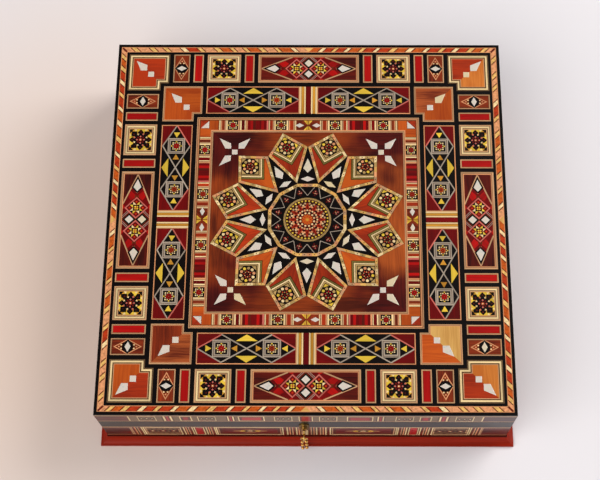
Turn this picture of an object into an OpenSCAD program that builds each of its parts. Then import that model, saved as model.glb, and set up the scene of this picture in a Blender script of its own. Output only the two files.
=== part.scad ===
/* [Box] */
// Width of the square box across its veneered faces
box_w = 280; // [230:1:340]
// Height of the body from the ground to its rim
body_h = 48.5; // [44:0.5:80]
// Height of the lid from its lower edge to its top face
lid_h = 18.6; // [16:0.2:30]
// Gap between the closed lid and the rim
lid_gap = 0.3; // [0.2:0.05:0.6]
// Thickness of every marquetry veneer
veneer_t = 1.2; // [0.8:0.1:1.6]
// Thickness of the body walls and lid rails
wall_t = 9; // [8:0.5:12]

/* [Carcass] */
// Thickness of the base board
base_t = 5; // [4:0.5:7]
// Thickness of the felt under the base board
felt_t = 1; // [0.6:0.1:1.5]
// Height of the plinth moulding
plinth_h = 9.5; // [8:0.5:12]
// How far the foot of the plinth stands out from the faces
plinth_flare = 6; // [3:0.5:8]
// Height of the black edging along the rim
edging_h = 1.2; // [1:0.1:2]
// Thickness of the lid board
board_t = 6; // [5:0.5:8]
// Thickness of the velvet on the walls and in the lid
velvet_t = 1; // [0.8:0.1:1.5]
// Thickness of the padded velvet on the floor
pad_t = 2; // [1.5:0.1:3]
// Distance from the rim down to the top of the wall velvet
velvet_drop = 3; // [2:0.5:5]

/* [Lid bands] */
// Width of the black outer edge strip
edge_w = 2.2; // [1.5:0.1:3]
// Width of the rope stringing
rope_w = 4.2; // [3:0.1:5]
// Width of the black strip inside the rope stringing
line_w = 2; // [1.5:0.1:3]
// Width of the outer band of tiles
outer_w = 23.1; // [20:0.1:26]
// Width of the black strip between the two bands of tiles
between_w = 3.4; // [2:0.1:4]
// Width of the inner band of tiles
inner_w = 22.1; // [20:0.1:24]
// Width of the black strip inside the inner band
inside_w = 3.2; // [2:0.1:4]
// Width of the narrow mosaic border
border_w = 11.8; // [10:0.1:13]
// Black gap between neighbouring tiles
tile_gap = 3; // [2:0.1:4]
// Length of an outer corner tile
corner_w = 29.8; // [28:0.1:32]
// Side of the notch in a corner tile
notch_w = 6; // [4:0.1:7]
// Length of an inner corner tile
inner_corner_w = 28.4; // [26:0.1:30]
// Length of a diamond tile
diamond_w = 11.8; // [10:0.1:13]
// Length of a red bar
bar_w = 6.9; // [5:0.1:9]
// Length of a star tile
star_w = 24.4; // [22:0.1:26]
// Length of the divider at the middle of the inner band
divider_w = 12.6; // [10:0.1:14]

/* [Star] */
// Number of petals round the star
petals = 12; // [12]
// Clearance between the petal tips and the mosaic border
tip_gap = 0.5; // [0.3:0.1:2]
// Radius of the petal shoulders as a share of the tip radius
shoulder = 0.81; // [0.79:0.01:0.83]
// Outer apothem of the ring of stringing round the rosette
ring_r = 27.6; // [27:0.1:29]
// Width of that ring
ring_w = 2.6; // [2:0.1:3]
// Radius of the rosette disc
rosette_r = 16.6; // [15:0.1:18]
// How far the mother-of-pearl stands above the veneer
pearl_proud = 0.1; // [0.05:0.01:0.2]

/* [Hinges] */
// Length of a hinge
hinge_l = 28; // [24:1:36]
// Distance from the middle of the box to the middle of each hinge
hinge_x = 85; // [70:1:95]
// Outside radius of the hinge knuckles
knuckle_r = 2.4; // [2.2:0.1:2.6]
// Radius of the hinge pin
pin_r = 1; // [0.9:0.1:1.1]
// Thickness of the hinge leaves
leaf_t = 1.2; // [1:0.1:1.4]
// Width of a hinge leaf on the wood
leaf_w = 8; // [7.5:0.1:8]
// Gap between the knuckles along the pin
knuckle_gap = 0.15; // [0.1:0.01:0.3]

/* [Lock] */
// Offset of the lock from the middle of the front
lock_x = -1.5; // [-4:0.5:4]
// Depth of the key axis below the rim
key_drop = 12.5; // [12.5:0.5:14]
// Radius of the key stem
stem_r = 1.2; // [1:0.1:1.3]
// Reach of the key bit from the key axis
bit_r = 4.6; // [4.4:0.1:4.8]
// How far the key stands out in front of the face
key_out = 10.5; // [9:0.5:14]
// Radius of the large beads on the strands
bead_r = 1.3; // [1.1:0.1:1.5]

/* [Hidden] */
$fn = 48;

// Half widths of the carcass, the veneered box and the inside
half = box_w / 2;
core = half - veneer_t;
inside = core - wall_t;

// Heights
wall_z = felt_t + base_t;
edging_z = body_h - edging_h;
lid_z = body_h + lid_gap;
top_z = lid_z + lid_h;
veneer_z = top_z - veneer_t;
board_z = veneer_z - board_t;
hinge_z = body_h + lid_gap / 2;

// Distances of the lid bands from the middle, from the edge inwards
rope_out = half - edge_w;
rope_in = rope_out - rope_w;
outer_out = rope_in - line_w;
outer_in = outer_out - outer_w;
inner_out = outer_in - between_w;
inner_in = inner_out - inner_w;
border_out = inner_in - inside_w;
field = border_out - border_w;

// Places along the outer band, from the corner tile to the middle of the side
corner_x = outer_out - corner_w;
diamond_x = corner_x - tile_gap - diamond_w;
bar_far_x = diamond_x - tile_gap - bar_w;
star_x = bar_far_x - tile_gap - star_w;
bar_near_x = star_x - tile_gap - bar_w;
long_x = bar_near_x - tile_gap;
outer_mid = (outer_out + outer_in) / 2;

// Places along the inner band
inner_corner_x = inner_out - inner_corner_w;
panel_far_x = inner_corner_x - tile_gap;
panel_near_x = divider_w / 2;

// Distances of the square pearls from the outer edges of the corner tiles, and past the petal tips
outer_pearl_in = 16.4;
inner_pearl_in = 17;
// Distance of the kite pearls from the middle of the square ones, and their length
outer_kite_in = 4.4;
outer_kite_l = 11.3;
inner_kite_in = 5.3;
inner_kite_l = 10.8;
field_pearl_gap = 2.8;

// Star
step = 360 / petals;
tip_r = (field - tip_gap) / cos(step / 2);
shoulder_r = shoulder * tip_r;
ring_vertex_r = ring_r / cos(step / 2);
ring_inner_vertex_r = (ring_r - ring_w) / cos(step / 2);
// Height and half base of the black triangles between the petals
gap_h = shoulder_r - ring_r;
gap_half = ring_vertex_r * sin(step / 2);
// Pearls in the corners of the field stand between the petal tips and the mitres
field_pearl_x = tip_r * cos(45) + field_pearl_gap;
field_reach = (field - field_pearl_x) * sqrt(2);

// Hinge axis and fits
pin_play = 0.05;
press_play = 0.02;
axis_y = half + knuckle_r + 0.3;
swing_gap = 0.25;
plate_reach = axis_y - knuckle_r - swing_gap;
stop_deg = 95;
lug_r = axis_y - plate_reach + 0.25;
lug_t = 1.2;
lug_lead = stop_deg + acos((axis_y - plate_reach) / lug_r) + 1.5;
knuckle_l = (hinge_l - 2 * knuckle_gap) / 3;
screw_r = 0.9;
screw_head_r = 1.9;
screw_l = 6;
leaf_screw_y = half - leaf_w + 2.6;
leaf_screw_step = 9;

// Lock case and cover
key_z = body_h - key_drop;
case_w = 36;
case_wall = 1;
cover_t = 1;
case_depth = 6.8;
cover_w = 46;
case_low = key_z - 6;
cover_low = case_low - 1;
cover_y = -inside;
case_y = cover_y - case_depth;
key_play = 0.1;
lock_fit = 0.1;

// Bolt: plate, notch for the bit, and fingers that pass through the staples
turn_deg = 45;
throw_mm = bit_r * sin(turn_deg) - 0.05;
bolt_t = 2;
bolt_y = cover_y - cover_t - 3.4;
bolt_low = key_z + stem_r + 1.4;
notch_top = key_z + bit_r + 0.4;
bolt_top = notch_top + 1.4;
bolt_half = 13;
notch_half = 1.75;
bit_t = 1.2;
bit_y = bolt_y - 0.3;
bit_l = bolt_t + 0.6;
staple_x = 6.2;
staple_t = 1.2;
staple_w = 4;
staple_bar = 1.2;
staple_play = 0.3;
staple_low = bolt_top + 0.4;
staple_eye_low = staple_low + staple_bar;
staple_eye_top = staple_eye_low + 2.5;
finger_play = 0.3;
finger_tip = -staple_t / 2 - staple_play;
finger_start = finger_tip - throw_mm;
post_l = 2.2;
stud_r = 0.9;
stud_x = 7.6;
stud_z = (bolt_low + bolt_top) / 2;
stud_play = 0.1;
strike_w = 30;
strike_t = 1;
strike_d = 4.8;
staple_y = bolt_y + bolt_t / 2;

// Key and strands
collar_r = 2.2;
collar_l = 1.2;
bow_l = 8.4;
bow_t = 1.2;
lobe_r = 1.9;
eye_r = 2.1;
eye_wire_r = 0.6;
eye_y = -half - key_out + eye_r + eye_wire_r;
loop_r = 2.4;
loop_wire_r = 0.4;
link_play = 0.08;
// The ring hangs on the round wire of the eye, at its lowest point
loop_z = key_z - eye_r + eye_wire_r + loop_wire_r + link_play - loop_r;
swing_z = loop_z - loop_r;
whip_r = 0.75;
whip_wire_r = 0.3;
knot_r = 1;
knot_z = swing_z - whip_r - 0.8;
thread_r = 0.4;
seed_r = 0.65;
strand_x = bead_r + 0.1;
strand_z = knot_z - 2;
strand_foot = 4.2;
strand_l = strand_z - strand_foot;
strand_step = 1.6;
bead_every = 6;

// ---------- shared shapes ----------

// One side of a mitred frame in plan, between two distances from the middle
module mitred_side(outer, inner, side) {
    rotate([0, 0, side * 90])
        polygon([[-outer, -outer], [outer, -outer], [inner, -inner], [-inner, -inner]]);
}

module mitred_rail(outer, inner, low, high, side) {
    translate([0, 0, low]) linear_extrude(high - low) mitred_side(outer, inner, side);
}

module frame_2d(outer, inner) {
    difference() {
        square(2 * outer, center = true);
        square(2 * inner, center = true);
    }
}

module kite_2d(tip, wide_at, half_w, tail) {
    polygon([[tip, 0], [wide_at, half_w], [tail, 0], [wide_at, -half_w]]);
}

module rhomb_2d(half_l, half_w) {
    polygon([[half_l, 0], [0, half_w], [-half_l, 0], [0, -half_w]]);
}

module veneer() {
    translate([0, 0, veneer_z]) linear_extrude(veneer_t) children();
}

module pearl_sheet() {
    translate([0, 0, veneer_z]) linear_extrude(veneer_t + pearl_proud) children();
}

// The four sides of the lid, each turned to the front
module each_side() {
    for (side = [0:3]) rotate(side * 90) children();
}

// Both ends of a side
module both_ways() {
    children();
    mirror([1, 0]) children();
}

module countersunk_screw(point) {
    head_h = screw_head_r - screw_r;
    translate(point) {
        cylinder(h = head_h, r1 = screw_head_r, r2 = screw_r);
        cylinder(h = screw_l, r = screw_r);
    }
}

module countersunk_hole(point) {
    head_h = screw_head_r - screw_r;
    translate(point) {
        cylinder(h = head_h, r1 = screw_head_r, r2 = screw_r);
        translate([0, 0, -1]) cylinder(h = screw_l + 1, r = screw_r);
    }
}

// Screw places on one hinge, and the four on the lock cover
module at_leaf_screws(side) {
    for (place = [-1:1])
        translate([side * hinge_x + place * leaf_screw_step, leaf_screw_y, 0]) children();
}

module at_cover_screws() {
    for (x = [-1, 1], z = [cover_low + 3, edging_z - 5])
        translate([lock_x + x * (cover_w / 2 - 2.4), cover_y, z]) rotate([90, 0, 0]) children();
}

module at_strike_screws() {
    for (x = [-1, 1])
        translate([lock_x + x * (strike_w / 2 - 2.6), staple_y, lid_z]) children();
}

// Recess for one hinge leaf, its mouth at the back face
module leaf_recess(side, low, high) {
    translate([side * hinge_x - hinge_l / 2, half - leaf_w, low])
        cube([hinge_l, leaf_w + 1, high - low]);
}

// ---------- carcass ----------

module base_board() {
    color("tan") translate([-core, -core, felt_t]) cube([2 * core, 2 * core, base_t]);
}

module base_felt() {
    color("darkgreen") translate([-core, -core, 0]) cube([2 * core, 2 * core, felt_t]);
}

// Plinth profile: a small fillet at the top, then a hollow that runs out to a square foot
module plinth_profile() {
    foot_h = 2;
    lip = 0.6;
    cove_w = plinth_flare - lip;
    cove_h = plinth_h - foot_h - 1;
    polygon(concat(
        [[core, 0], [half + plinth_flare, 0], [half + plinth_flare, foot_h]],
        [for (turn = [15:15:75])
            [half + plinth_flare - cove_w * sin(turn), foot_h + cove_h * (1 - cos(turn))]],
        [[half + lip, plinth_h - 1], [half + lip, plinth_h], [core, plinth_h]]));
}

module plinth(side) {
    reach = half + plinth_flare + 1;
    color("firebrick") rotate([0, 0, side * 90]) intersection() {
        rotate([90, 0, -90]) translate([0, 0, -reach]) linear_extrude(2 * reach) plinth_profile();
        linear_extrude(plinth_h) polygon([[0, 0], [reach, -reach], [-reach, -reach]]);
    }
}

module wall(side) {
    color("saddlebrown") mitred_rail(core, inside, wall_z, edging_z, side);
}

module wall_front() {
    difference() {
        wall(0);
        lock_pocket();
        keyhole_cut(-core - 1, case_y);
        at_cover_screws() countersunk_hole([0, 0, 0]);
    }
}

module wall_back() {
    difference() {
        wall(2);
        for (side = [-1, 1]) {
            leaf_recess(side, body_h - leaf_t, body_h + 1);
            at_leaf_screws(side) translate([0, 0, body_h]) mirror([0, 0, 1]) countersunk_hole([0, 0, 0]);
        }
    }
}

module wall_left() { wall(3); }
module wall_right() { wall(1); }

module rim_edging() {
    color("black") difference() {
        union() for (side = [0:3]) mitred_rail(half, inside, edging_z, body_h, side);
        for (side = [-1, 1]) leaf_recess(side, body_h - leaf_t, body_h + 1);
        lock_pocket();
    }
}

// Velvet on the inside of each wall, cut away round the lock
module wall_linings() {
    low = wall_z + pad_t;
    high = body_h - velvet_drop;
    color("darkred") difference() {
        union() for (side = [0:3]) mitred_rail(inside, inside - velvet_t, low, high, side);
        translate([lock_x - cover_w / 2 - lock_fit, cover_y - 1, cover_low - lock_fit])
            cube([cover_w + 2 * lock_fit, 3, body_h]);
    }
}

module floor_pad() {
    color("darkred") translate([-inside, -inside, wall_z]) cube([2 * inside, 2 * inside, pad_t]);
}

// ---------- body and lid side veneers ----------

module body_veneer(side) {
    color("brown") mitred_rail(half, core, plinth_h, edging_z, side);
}

module body_mosaic_front() {
    difference() {
        body_veneer(0);
        keyhole_cut(-half - 1, -core + 1);
    }
}

module body_mosaic_back() {
    difference() {
        body_veneer(2);
        for (side = [-1, 1]) leaf_recess(side, body_h - leaf_t, body_h + 1);
    }
}

module body_mosaic_left() { body_veneer(3); }
module body_mosaic_right() { body_veneer(1); }

module lid_veneer(side) {
    color("sienna") mitred_rail(half, core, lid_z, veneer_z, side);
}

module lid_mosaic_front() { lid_veneer(0); }

module lid_mosaic_back() {
    difference() {
        lid_veneer(2);
        for (side = [-1, 1]) leaf_recess(side, lid_z - 1, lid_z + leaf_t);
    }
}

module lid_mosaic_left() { lid_veneer(3); }
module lid_mosaic_right() { lid_veneer(1); }

// ---------- lid ----------

module lid_board() {
    color("tan") translate([-core, -core, board_z]) cube([2 * core, 2 * core, board_t]);
}

module lid_rail(side) {
    color("saddlebrown") mitred_rail(core, inside, lid_z, board_z, side);
}

module lid_rail_front() {
    difference() {
        lid_rail(0);
        strike_outline(lock_fit, strike_t);
        at_strike_screws() countersunk_hole([0, 0, 0]);
    }
}

module lid_rail_back() {
    difference() {
        lid_rail(2);
        for (side = [-1, 1]) {
            leaf_recess(side, lid_z - 1, lid_z + leaf_t);
            at_leaf_screws(side) translate([0, 0, lid_z]) countersunk_hole([0, 0, 0]);
        }
    }
}

module lid_rail_left() { lid_rail(3); }
module lid_rail_right() { lid_rail(1); }

module lid_lining() {
    color("darkred") translate([-inside, -inside, board_z - velvet_t])
        cube([2 * inside, 2 * inside, velvet_t]);
}

// ---------- lid top: tile outlines ----------

module band_tile_2d(near, far, low, high) {
    translate([near, -high]) square([far - near, high - low]);
}

// Corner tile at the front right, with a notch at its inner corner
module corner_tile_2d(out, size, notch) {
    difference() {
        translate([out - size, -out]) square(size);
        translate([out - size - 1, -out + size - notch]) square(notch + 1);
    }
}

module outer_corner_2d() { corner_tile_2d(outer_out, corner_w, notch_w); }
module inner_corner_2d() { corner_tile_2d(inner_out, inner_corner_w, notch_w); }
module diamond_2d() { band_tile_2d(diamond_x, diamond_x + diamond_w, outer_in, outer_out); }
module star_tile_2d() { band_tile_2d(star_x, star_x + star_w, outer_in, outer_out); }
module inner_panel_2d() { band_tile_2d(panel_near_x, panel_far_x, inner_in, inner_out); }
module long_panel_2d() { band_tile_2d(-long_x, long_x, outer_in, outer_out); }

module divider_2d() {
    band_tile_2d(-divider_w / 2, divider_w / 2, inner_in, inner_out);
}

module bars_2d() {
    band_tile_2d(bar_far_x, bar_far_x + bar_w, outer_in, outer_out);
    band_tile_2d(bar_near_x, bar_near_x + bar_w, outer_in, outer_out);
}

module petal_2d(turn) {
    rotate(turn) polygon([
        [tip_r, 0],
        [shoulder_r * cos(step / 2), shoulder_r * sin(step / 2)],
        [ring_vertex_r, 0],
        [shoulder_r * cos(step / 2), -shoulder_r * sin(step / 2)]]);
}

module gap_triangle_2d(turn) {
    rotate(turn) polygon([
        [shoulder_r, 0],
        [ring_vertex_r * cos(step / 2), ring_vertex_r * sin(step / 2)],
        [ring_vertex_r * cos(step / 2), -ring_vertex_r * sin(step / 2)]]);
}

// Outline of the whole star: petal tips and the shoulders between them
module star_outline_2d() {
    polygon([for (point = [0:2 * petals - 1])
        let (r = point % 2 == 0 ? shoulder_r : tip_r)
        [r * cos(point * step / 2), r * sin(point * step / 2)]]);
}

module ring_2d(vertex_r) {
    polygon([for (point = [0:petals - 1])
        [vertex_r * cos((point + 0.5) * step), vertex_r * sin((point + 0.5) * step)]]);
}

// ---------- lid top: mother-of-pearl outlines ----------

// A square and a kite on the diagonal of a corner tile; the kite points at the outer corner
module corner_pearls_2d(out, square_in, kite_in, kite_l) {
    translate([out - square_in, -out + square_in]) {
        square(4.2, center = true);
        rotate(-45) translate([kite_in, 0]) kite_2d(kite_l, 3.2, 3.2, 0);
    }
}

module diamond_pearl_2d() {
    translate([diamond_x + diamond_w / 2, -outer_mid]) rhomb_2d(diamond_w * 0.31, 2);
}

module long_pearls_2d() {
    both_ways() {
        translate([long_x - 6, -outer_mid]) kite_2d(0, -6.1, 2.8, -9.2);
    }
    for (row = [-1, 1]) translate([0, -outer_mid + row * 4.5]) rhomb_2d(3, 3);
}

module border_pearls_2d() {
    both_ways() translate([6.1, -border_out + border_w * 0.53]) rhomb_2d(3.2, 1.7);
}

// Corner of the narrow border: a triangle of pearl on the mitre
module border_corner_pearl_2d() {
    low = border_out - border_w * 0.72;
    high = low + 5.6;
    polygon([[low, -low], [high, -low], [low, -high]]);
}

module field_corner_pearls_2d() {
    translate([field_pearl_x, field_pearl_x]) {
        square(0.17 * field_reach, center = true);
        for (turn = [-45, 45, 135]) rotate(turn) translate([0.17 * field_reach, 0])
            kite_2d(0.52 * field_reach, 0.134 * field_reach, 0.125 * field_reach, 0);
    }
}

module gap_pearls_2d(turn) {
    rotate(turn) {
        translate([ring_r, 0]) kite_2d(0.68 * gap_h, 0.415 * gap_h, 0.42 * gap_half, 0.29 * gap_h);
        translate([ring_r + 0.126 * gap_h, 0]) rotate(90) rhomb_2d(0.676 * gap_half, 0.069 * gap_h);
    }
}

// ---------- lid top: veneers ----------

module ground_veneer() {
    color("black") veneer() difference() {
        frame_2d(half, border_out);
        frame_2d(rope_out, rope_in);
        each_side() {
            outer_corner_2d();
            inner_corner_2d();
            long_panel_2d();
            divider_2d();
            both_ways() {
                diamond_2d();
                star_tile_2d();
                inner_panel_2d();
                bars_2d();
            }
        }
    }
}

module rope_stringing() {
    color("orange") veneer() each_side()
        mitred_side(rope_out, rope_in, 0);
}

module outer_corner_tiles() {
    color("chocolate") veneer() each_side() difference() {
        outer_corner_2d();
        corner_pearls_2d(outer_out, outer_pearl_in, outer_kite_in, outer_kite_l);
    }
}

module inner_corner_tiles() {
    color("chocolate") veneer() each_side() difference() {
        inner_corner_2d();
        corner_pearls_2d(inner_out, inner_pearl_in, inner_kite_in, inner_kite_l);
    }
}

module diamond_tiles() {
    color("sienna") veneer() each_side() both_ways() difference() {
        diamond_2d();
        diamond_pearl_2d();
    }
}

module red_bars() {
    color("firebrick") veneer() each_side() both_ways() bars_2d();
}

module star_tiles() {
    color("goldenrod") veneer() each_side() both_ways() star_tile_2d();
}

module long_panels() {
    color("darkred") veneer() each_side() difference() {
        long_panel_2d();
        long_pearls_2d();
    }
}

module inner_panels() {
    color("maroon") veneer() each_side() both_ways() inner_panel_2d();
}

module dividers() {
    color("darkred") veneer() each_side() divider_2d();
}

module mosaic_border() {
    color("peru") veneer() each_side() difference() {
        mitred_side(border_out, field, 0);
        border_pearls_2d();
        border_corner_pearl_2d();
        rotate(-90) border_corner_pearl_2d();
    }
}

module field_veneers() {
    color("brown") veneer() each_side() difference() {
        polygon([[0, 0], [field, -field], [-field, -field]]);
        star_outline_2d();
        rotate(-90) field_corner_pearls_2d();
        rotate(180) field_corner_pearls_2d();
    }
}

module petal_tiles() {
    color("orangered") veneer() for (petal = [0:petals - 1]) petal_2d((petal + 0.5) * step);
}

module gap_triangles() {
    color("black") veneer() for (petal = [0:petals - 1]) difference() {
        gap_triangle_2d(petal * step);
        gap_pearls_2d(petal * step);
    }
}

module ring_stringing() {
    color("khaki") veneer() difference() {
        ring_2d(ring_vertex_r);
        ring_2d(ring_inner_vertex_r);
    }
}

module zigzag_ring() {
    color("black") veneer() difference() {
        ring_2d(ring_inner_vertex_r);
        circle(rosette_r);
    }
}

module rosette_disc() {
    color("red") veneer() circle(rosette_r);
}

module pearl_inlays() {
    color("ivory") pearl_sheet() {
        each_side() {
            corner_pearls_2d(outer_out, outer_pearl_in, outer_kite_in, outer_kite_l);
            corner_pearls_2d(inner_out, inner_pearl_in, inner_kite_in, inner_kite_l);
            both_ways() diamond_pearl_2d();
            long_pearls_2d();
            border_pearls_2d();
            border_corner_pearl_2d();
            field_corner_pearls_2d();
        }
        for (petal = [0:petals - 1]) gap_pearls_2d(petal * step);
    }
}

// ---------- hinges ----------

// Knuckles lie on the pin: two on the body leaf, one between them on the lid leaf
module knuckle(side, place, bore) {
    x = side * hinge_x + (place - 0.5) * knuckle_l + place * knuckle_gap;
    difference() {
        union() {
            translate([x, axis_y, hinge_z]) rotate([0, 90, 0]) cylinder(h = knuckle_l, r = knuckle_r);
            children();
        }
        translate([x - 1, axis_y, hinge_z]) rotate([0, 90, 0]) cylinder(h = knuckle_l + 2, r = bore);
    }
}

module leaf_plate(side, low) {
    translate([side * hinge_x - hinge_l / 2, half - leaf_w, low])
        cube([hinge_l, plate_reach - half + leaf_w, leaf_t]);
}

// Lug on the lid knuckle that meets the body leaf when the lid is fully open
module stop_lug(side) {
    translate([side * hinge_x - knuckle_l / 2, axis_y, hinge_z]) rotate([180 + lug_lead, 0, 0])
        translate([0, pin_r + 0.5, 0]) cube([knuckle_l, lug_r - pin_r - 0.5, lug_t]);
}

module knuckle_neck(side, place, low) {
    x = side * hinge_x + (place - 0.5) * knuckle_l + place * knuckle_gap;
    translate([x, half - leaf_w + 1, low]) cube([knuckle_l, axis_y - half + leaf_w - 1, leaf_t]);
}

module body_leaf(side) {
    color("goldenrod") difference() {
        union() {
            leaf_plate(side, body_h - leaf_t);
            for (place = [-1, 1]) knuckle(side, place, pin_r + press_play)
                knuckle_neck(side, place, body_h - leaf_t);
        }
        at_leaf_screws(side) translate([0, 0, body_h]) mirror([0, 0, 1]) countersunk_hole([0, 0, 0]);
    }
}

module lid_leaf(side) {
    color("goldenrod") difference() {
        union() {
            leaf_plate(side, lid_z);
            knuckle(side, 0, pin_r + pin_play) {
                knuckle_neck(side, 0, lid_z);
                stop_lug(side);
            }
        }
        at_leaf_screws(side) translate([0, 0, lid_z]) countersunk_hole([0, 0, 0]);
    }
}

module hinge_left_body_leaf() { body_leaf(-1); }
module hinge_right_body_leaf() { body_leaf(1); }
module hinge_left_lid_leaf() { lid_leaf(-1); }
module hinge_right_lid_leaf() { lid_leaf(1); }

module hinge_pins() {
    color("gold") for (side = [-1, 1])
        translate([side * hinge_x - hinge_l / 2, axis_y, hinge_z]) rotate([0, 90, 0])
            cylinder(h = hinge_l, r = pin_r);
}

module body_screws() {
    color("gold") {
        for (side = [-1, 1])
            at_leaf_screws(side) translate([0, 0, body_h]) mirror([0, 0, 1]) countersunk_screw([0, 0, 0]);
        at_cover_screws() countersunk_screw([0, 0, 0]);
    }
}

module lid_screws() {
    color("gold") {
        for (side = [-1, 1])
            at_leaf_screws(side) translate([0, 0, lid_z]) countersunk_screw([0, 0, 0]);
        at_strike_screws() countersunk_screw([0, 0, 0]);
    }
}

// ---------- lock ----------

// Room for the case and the cover in the front wall, open to the inside and the rim
module lock_pocket() {
    translate([lock_x - case_w / 2, case_y, case_low]) cube([case_w, case_depth + 1, body_h]);
    translate([lock_x - cover_w / 2, cover_y - cover_t, cover_low])
        cube([cover_w, cover_t + 1, body_h]);
}

// Round hole for the stem with a slot below it for the bit
module keyhole_cut(front, back) {
    translate([lock_x, front, key_z]) rotate([-90, 0, 0]) {
        cylinder(h = back - front, r = stem_r + key_play);
        translate([-bit_t / 2 - 0.2, 0, 0]) cube([bit_t + 0.4, bit_r + 0.2, back - front]);
    }
}

module staple_slots() {
    for (place = [-1, 1])
        translate([lock_x + place * staple_x, staple_y, body_h])
            cube([staple_t + 2 * staple_play, staple_w + 2 * staple_play, 3 * edging_h], center = true);
}

// Case: front plate, four sides and the studs that the bolt runs on
module lock_case() {
    inner_low = case_low + case_wall;
    color("darkgoldenrod") {
        difference() {
            translate([lock_x - case_w / 2, case_y, case_low])
                cube([case_w, case_depth - cover_t, body_h - case_low]);
            translate([lock_x - case_w / 2 + case_wall, case_y + case_wall, inner_low])
                cube([case_w - 2 * case_wall, case_depth, body_h - inner_low - edging_h]);
            keyhole_cut(case_y - 1, case_y + case_wall + 0.5);
            staple_slots();
        }
        for (place = [-1, 1])
            translate([lock_x + place * stud_x, case_y + case_wall, stud_z]) rotate([-90, 0, 0])
                cylinder(h = bolt_y + bolt_t + 0.3 - case_y - case_wall, r = stud_r);
    }
}

module lock_cover() {
    color("goldenrod") difference() {
        translate([lock_x - cover_w / 2, cover_y - cover_t, cover_low])
            cube([cover_w, cover_t, body_h - cover_low]);
        translate([lock_x, cover_y + 1, key_z]) rotate([90, 0, 0])
            cylinder(h = cover_t + 2, r = stem_r + key_play);
        at_cover_screws() countersunk_hole([0, 0, 0]);
    }
}

module bolt_slot(place) {
    half_run = throw_mm + stud_play;
    slot_r = stud_r + stud_play;
    translate([lock_x + place * stud_x, bolt_y - 1, stud_z]) rotate([-90, 0, 0]) {
        for (end = [-1, 1]) translate([end * half_run, 0, 0]) cylinder(h = bolt_t + 2, r = slot_r);
        translate([-half_run, -slot_r, 0]) cube([2 * half_run, 2 * slot_r, bolt_t + 2]);
    }
}

// Bolt: a bar with a notch for the bit and two hooked fingers that point right
module lock_bolt() {
    finger_low = staple_eye_low + finger_play;
    finger_top = staple_eye_top - finger_play;
    color("silver") difference() {
        translate([lock_x, bolt_y, 0]) {
            translate([-bolt_half, 0, bolt_low]) cube([2 * bolt_half, bolt_t, bolt_top - bolt_low]);
            for (place = [-1, 1]) translate([place * staple_x + finger_start - post_l, 0, 0]) {
                translate([0, 0, bolt_top - 0.5]) cube([post_l, bolt_t, finger_top - bolt_top + 0.5]);
                translate([0, 0, finger_low])
                    cube([post_l + finger_tip - finger_start, bolt_t, finger_top - finger_low]);
            }
        }
        translate([lock_x - notch_half, bolt_y - 1, bolt_low - 1])
            cube([2 * notch_half, bolt_t + 2, notch_top - bolt_low + 1]);
        for (place = [-1, 1]) bolt_slot(place);
    }
}

module strike_outline(play, thickness) {
    translate([lock_x - strike_w / 2 - play, staple_y - strike_d / 2 - play, lid_z - lid_gap])
        cube([strike_w + 2 * play, strike_d + 2 * play, thickness + lid_gap]);
}

// Strike: a plate in the lid rail with two staples that drop into the case
module strike_plate() {
    color("goldenrod") difference() {
        union() {
            translate([lock_x - strike_w / 2, staple_y - strike_d / 2, lid_z])
                cube([strike_w, strike_d, strike_t]);
            for (place = [-1, 1])
                translate([lock_x + place * staple_x - staple_t / 2, staple_y - staple_w / 2, staple_low])
                    cube([staple_t, staple_w, lid_z - staple_low + strike_t / 2]);
        }
        for (place = [-1, 1])
            translate([lock_x + place * staple_x - staple_t, bolt_y - 0.4, staple_eye_low])
                cube([2 * staple_t, bolt_t + 0.8, staple_eye_top - staple_eye_low]);
        at_strike_screws() countersunk_hole([0, 0, 0]);
    }
}

module keyhole_plate() {
    plate_w = 7;
    plate_h = 17;
    plate_t = 0.6;
    color("darkgoldenrod") difference() {
        translate([lock_x, -half, key_z - 0.8]) rotate([90, 0, 0]) linear_extrude(plate_t) {
            square([plate_w, plate_h - plate_w], center = true);
            for (end = [-1, 1]) translate([0, end * (plate_h - plate_w) / 2]) circle(plate_w / 2);
        }
        keyhole_cut(-half - 1, -half + 1);
    }
}

// Key: bit, stem, collar and pierced bow, with the bit upright in the notch of the bolt
module key() {
    bow_start = -half - key_out + bow_l;
    color("gold") difference() {
        union() {
            translate([lock_x, cover_y - 0.2, key_z]) rotate([90, 0, 0])
                cylinder(h = cover_y - 0.2 - bow_start + 1, r = stem_r);
            translate([lock_x - bit_t / 2, bit_y, key_z]) cube([bit_t, bit_l, bit_r]);
            translate([lock_x, bow_start + collar_l, key_z]) rotate([90, 0, 0])
                cylinder(h = collar_l, r = collar_r);
            translate([lock_x - bow_t / 2, bow_start - lobe_r, key_z]) rotate([0, 90, 0])
                for (lobe = [-1, 1]) translate([lobe * lobe_r * 1.3, 0, 0])
                    cylinder(h = bow_t, r = lobe_r);
            translate([lock_x - bow_t / 2, eye_y, key_z - lobe_r])
                cube([bow_t, bow_start - eye_y, 2 * lobe_r]);
        }
        translate([lock_x - bow_t, eye_y, key_z]) rotate([0, 90, 0]) cylinder(h = 2 * bow_t, r = eye_r);
    }
    color("gold") translate([lock_x, eye_y, key_z]) rotate([0, 90, 0])
        rotate_extrude() translate([eye_r, 0]) circle(eye_wire_r);
}

// Ring through the eye of the bow, hanging across it
module strand_ring() {
    color("gold") translate([lock_x, eye_y, loop_z])
        rotate([90, 0, 0]) rotate_extrude() translate([loop_r, 0]) circle(loop_wire_r);
}

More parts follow.
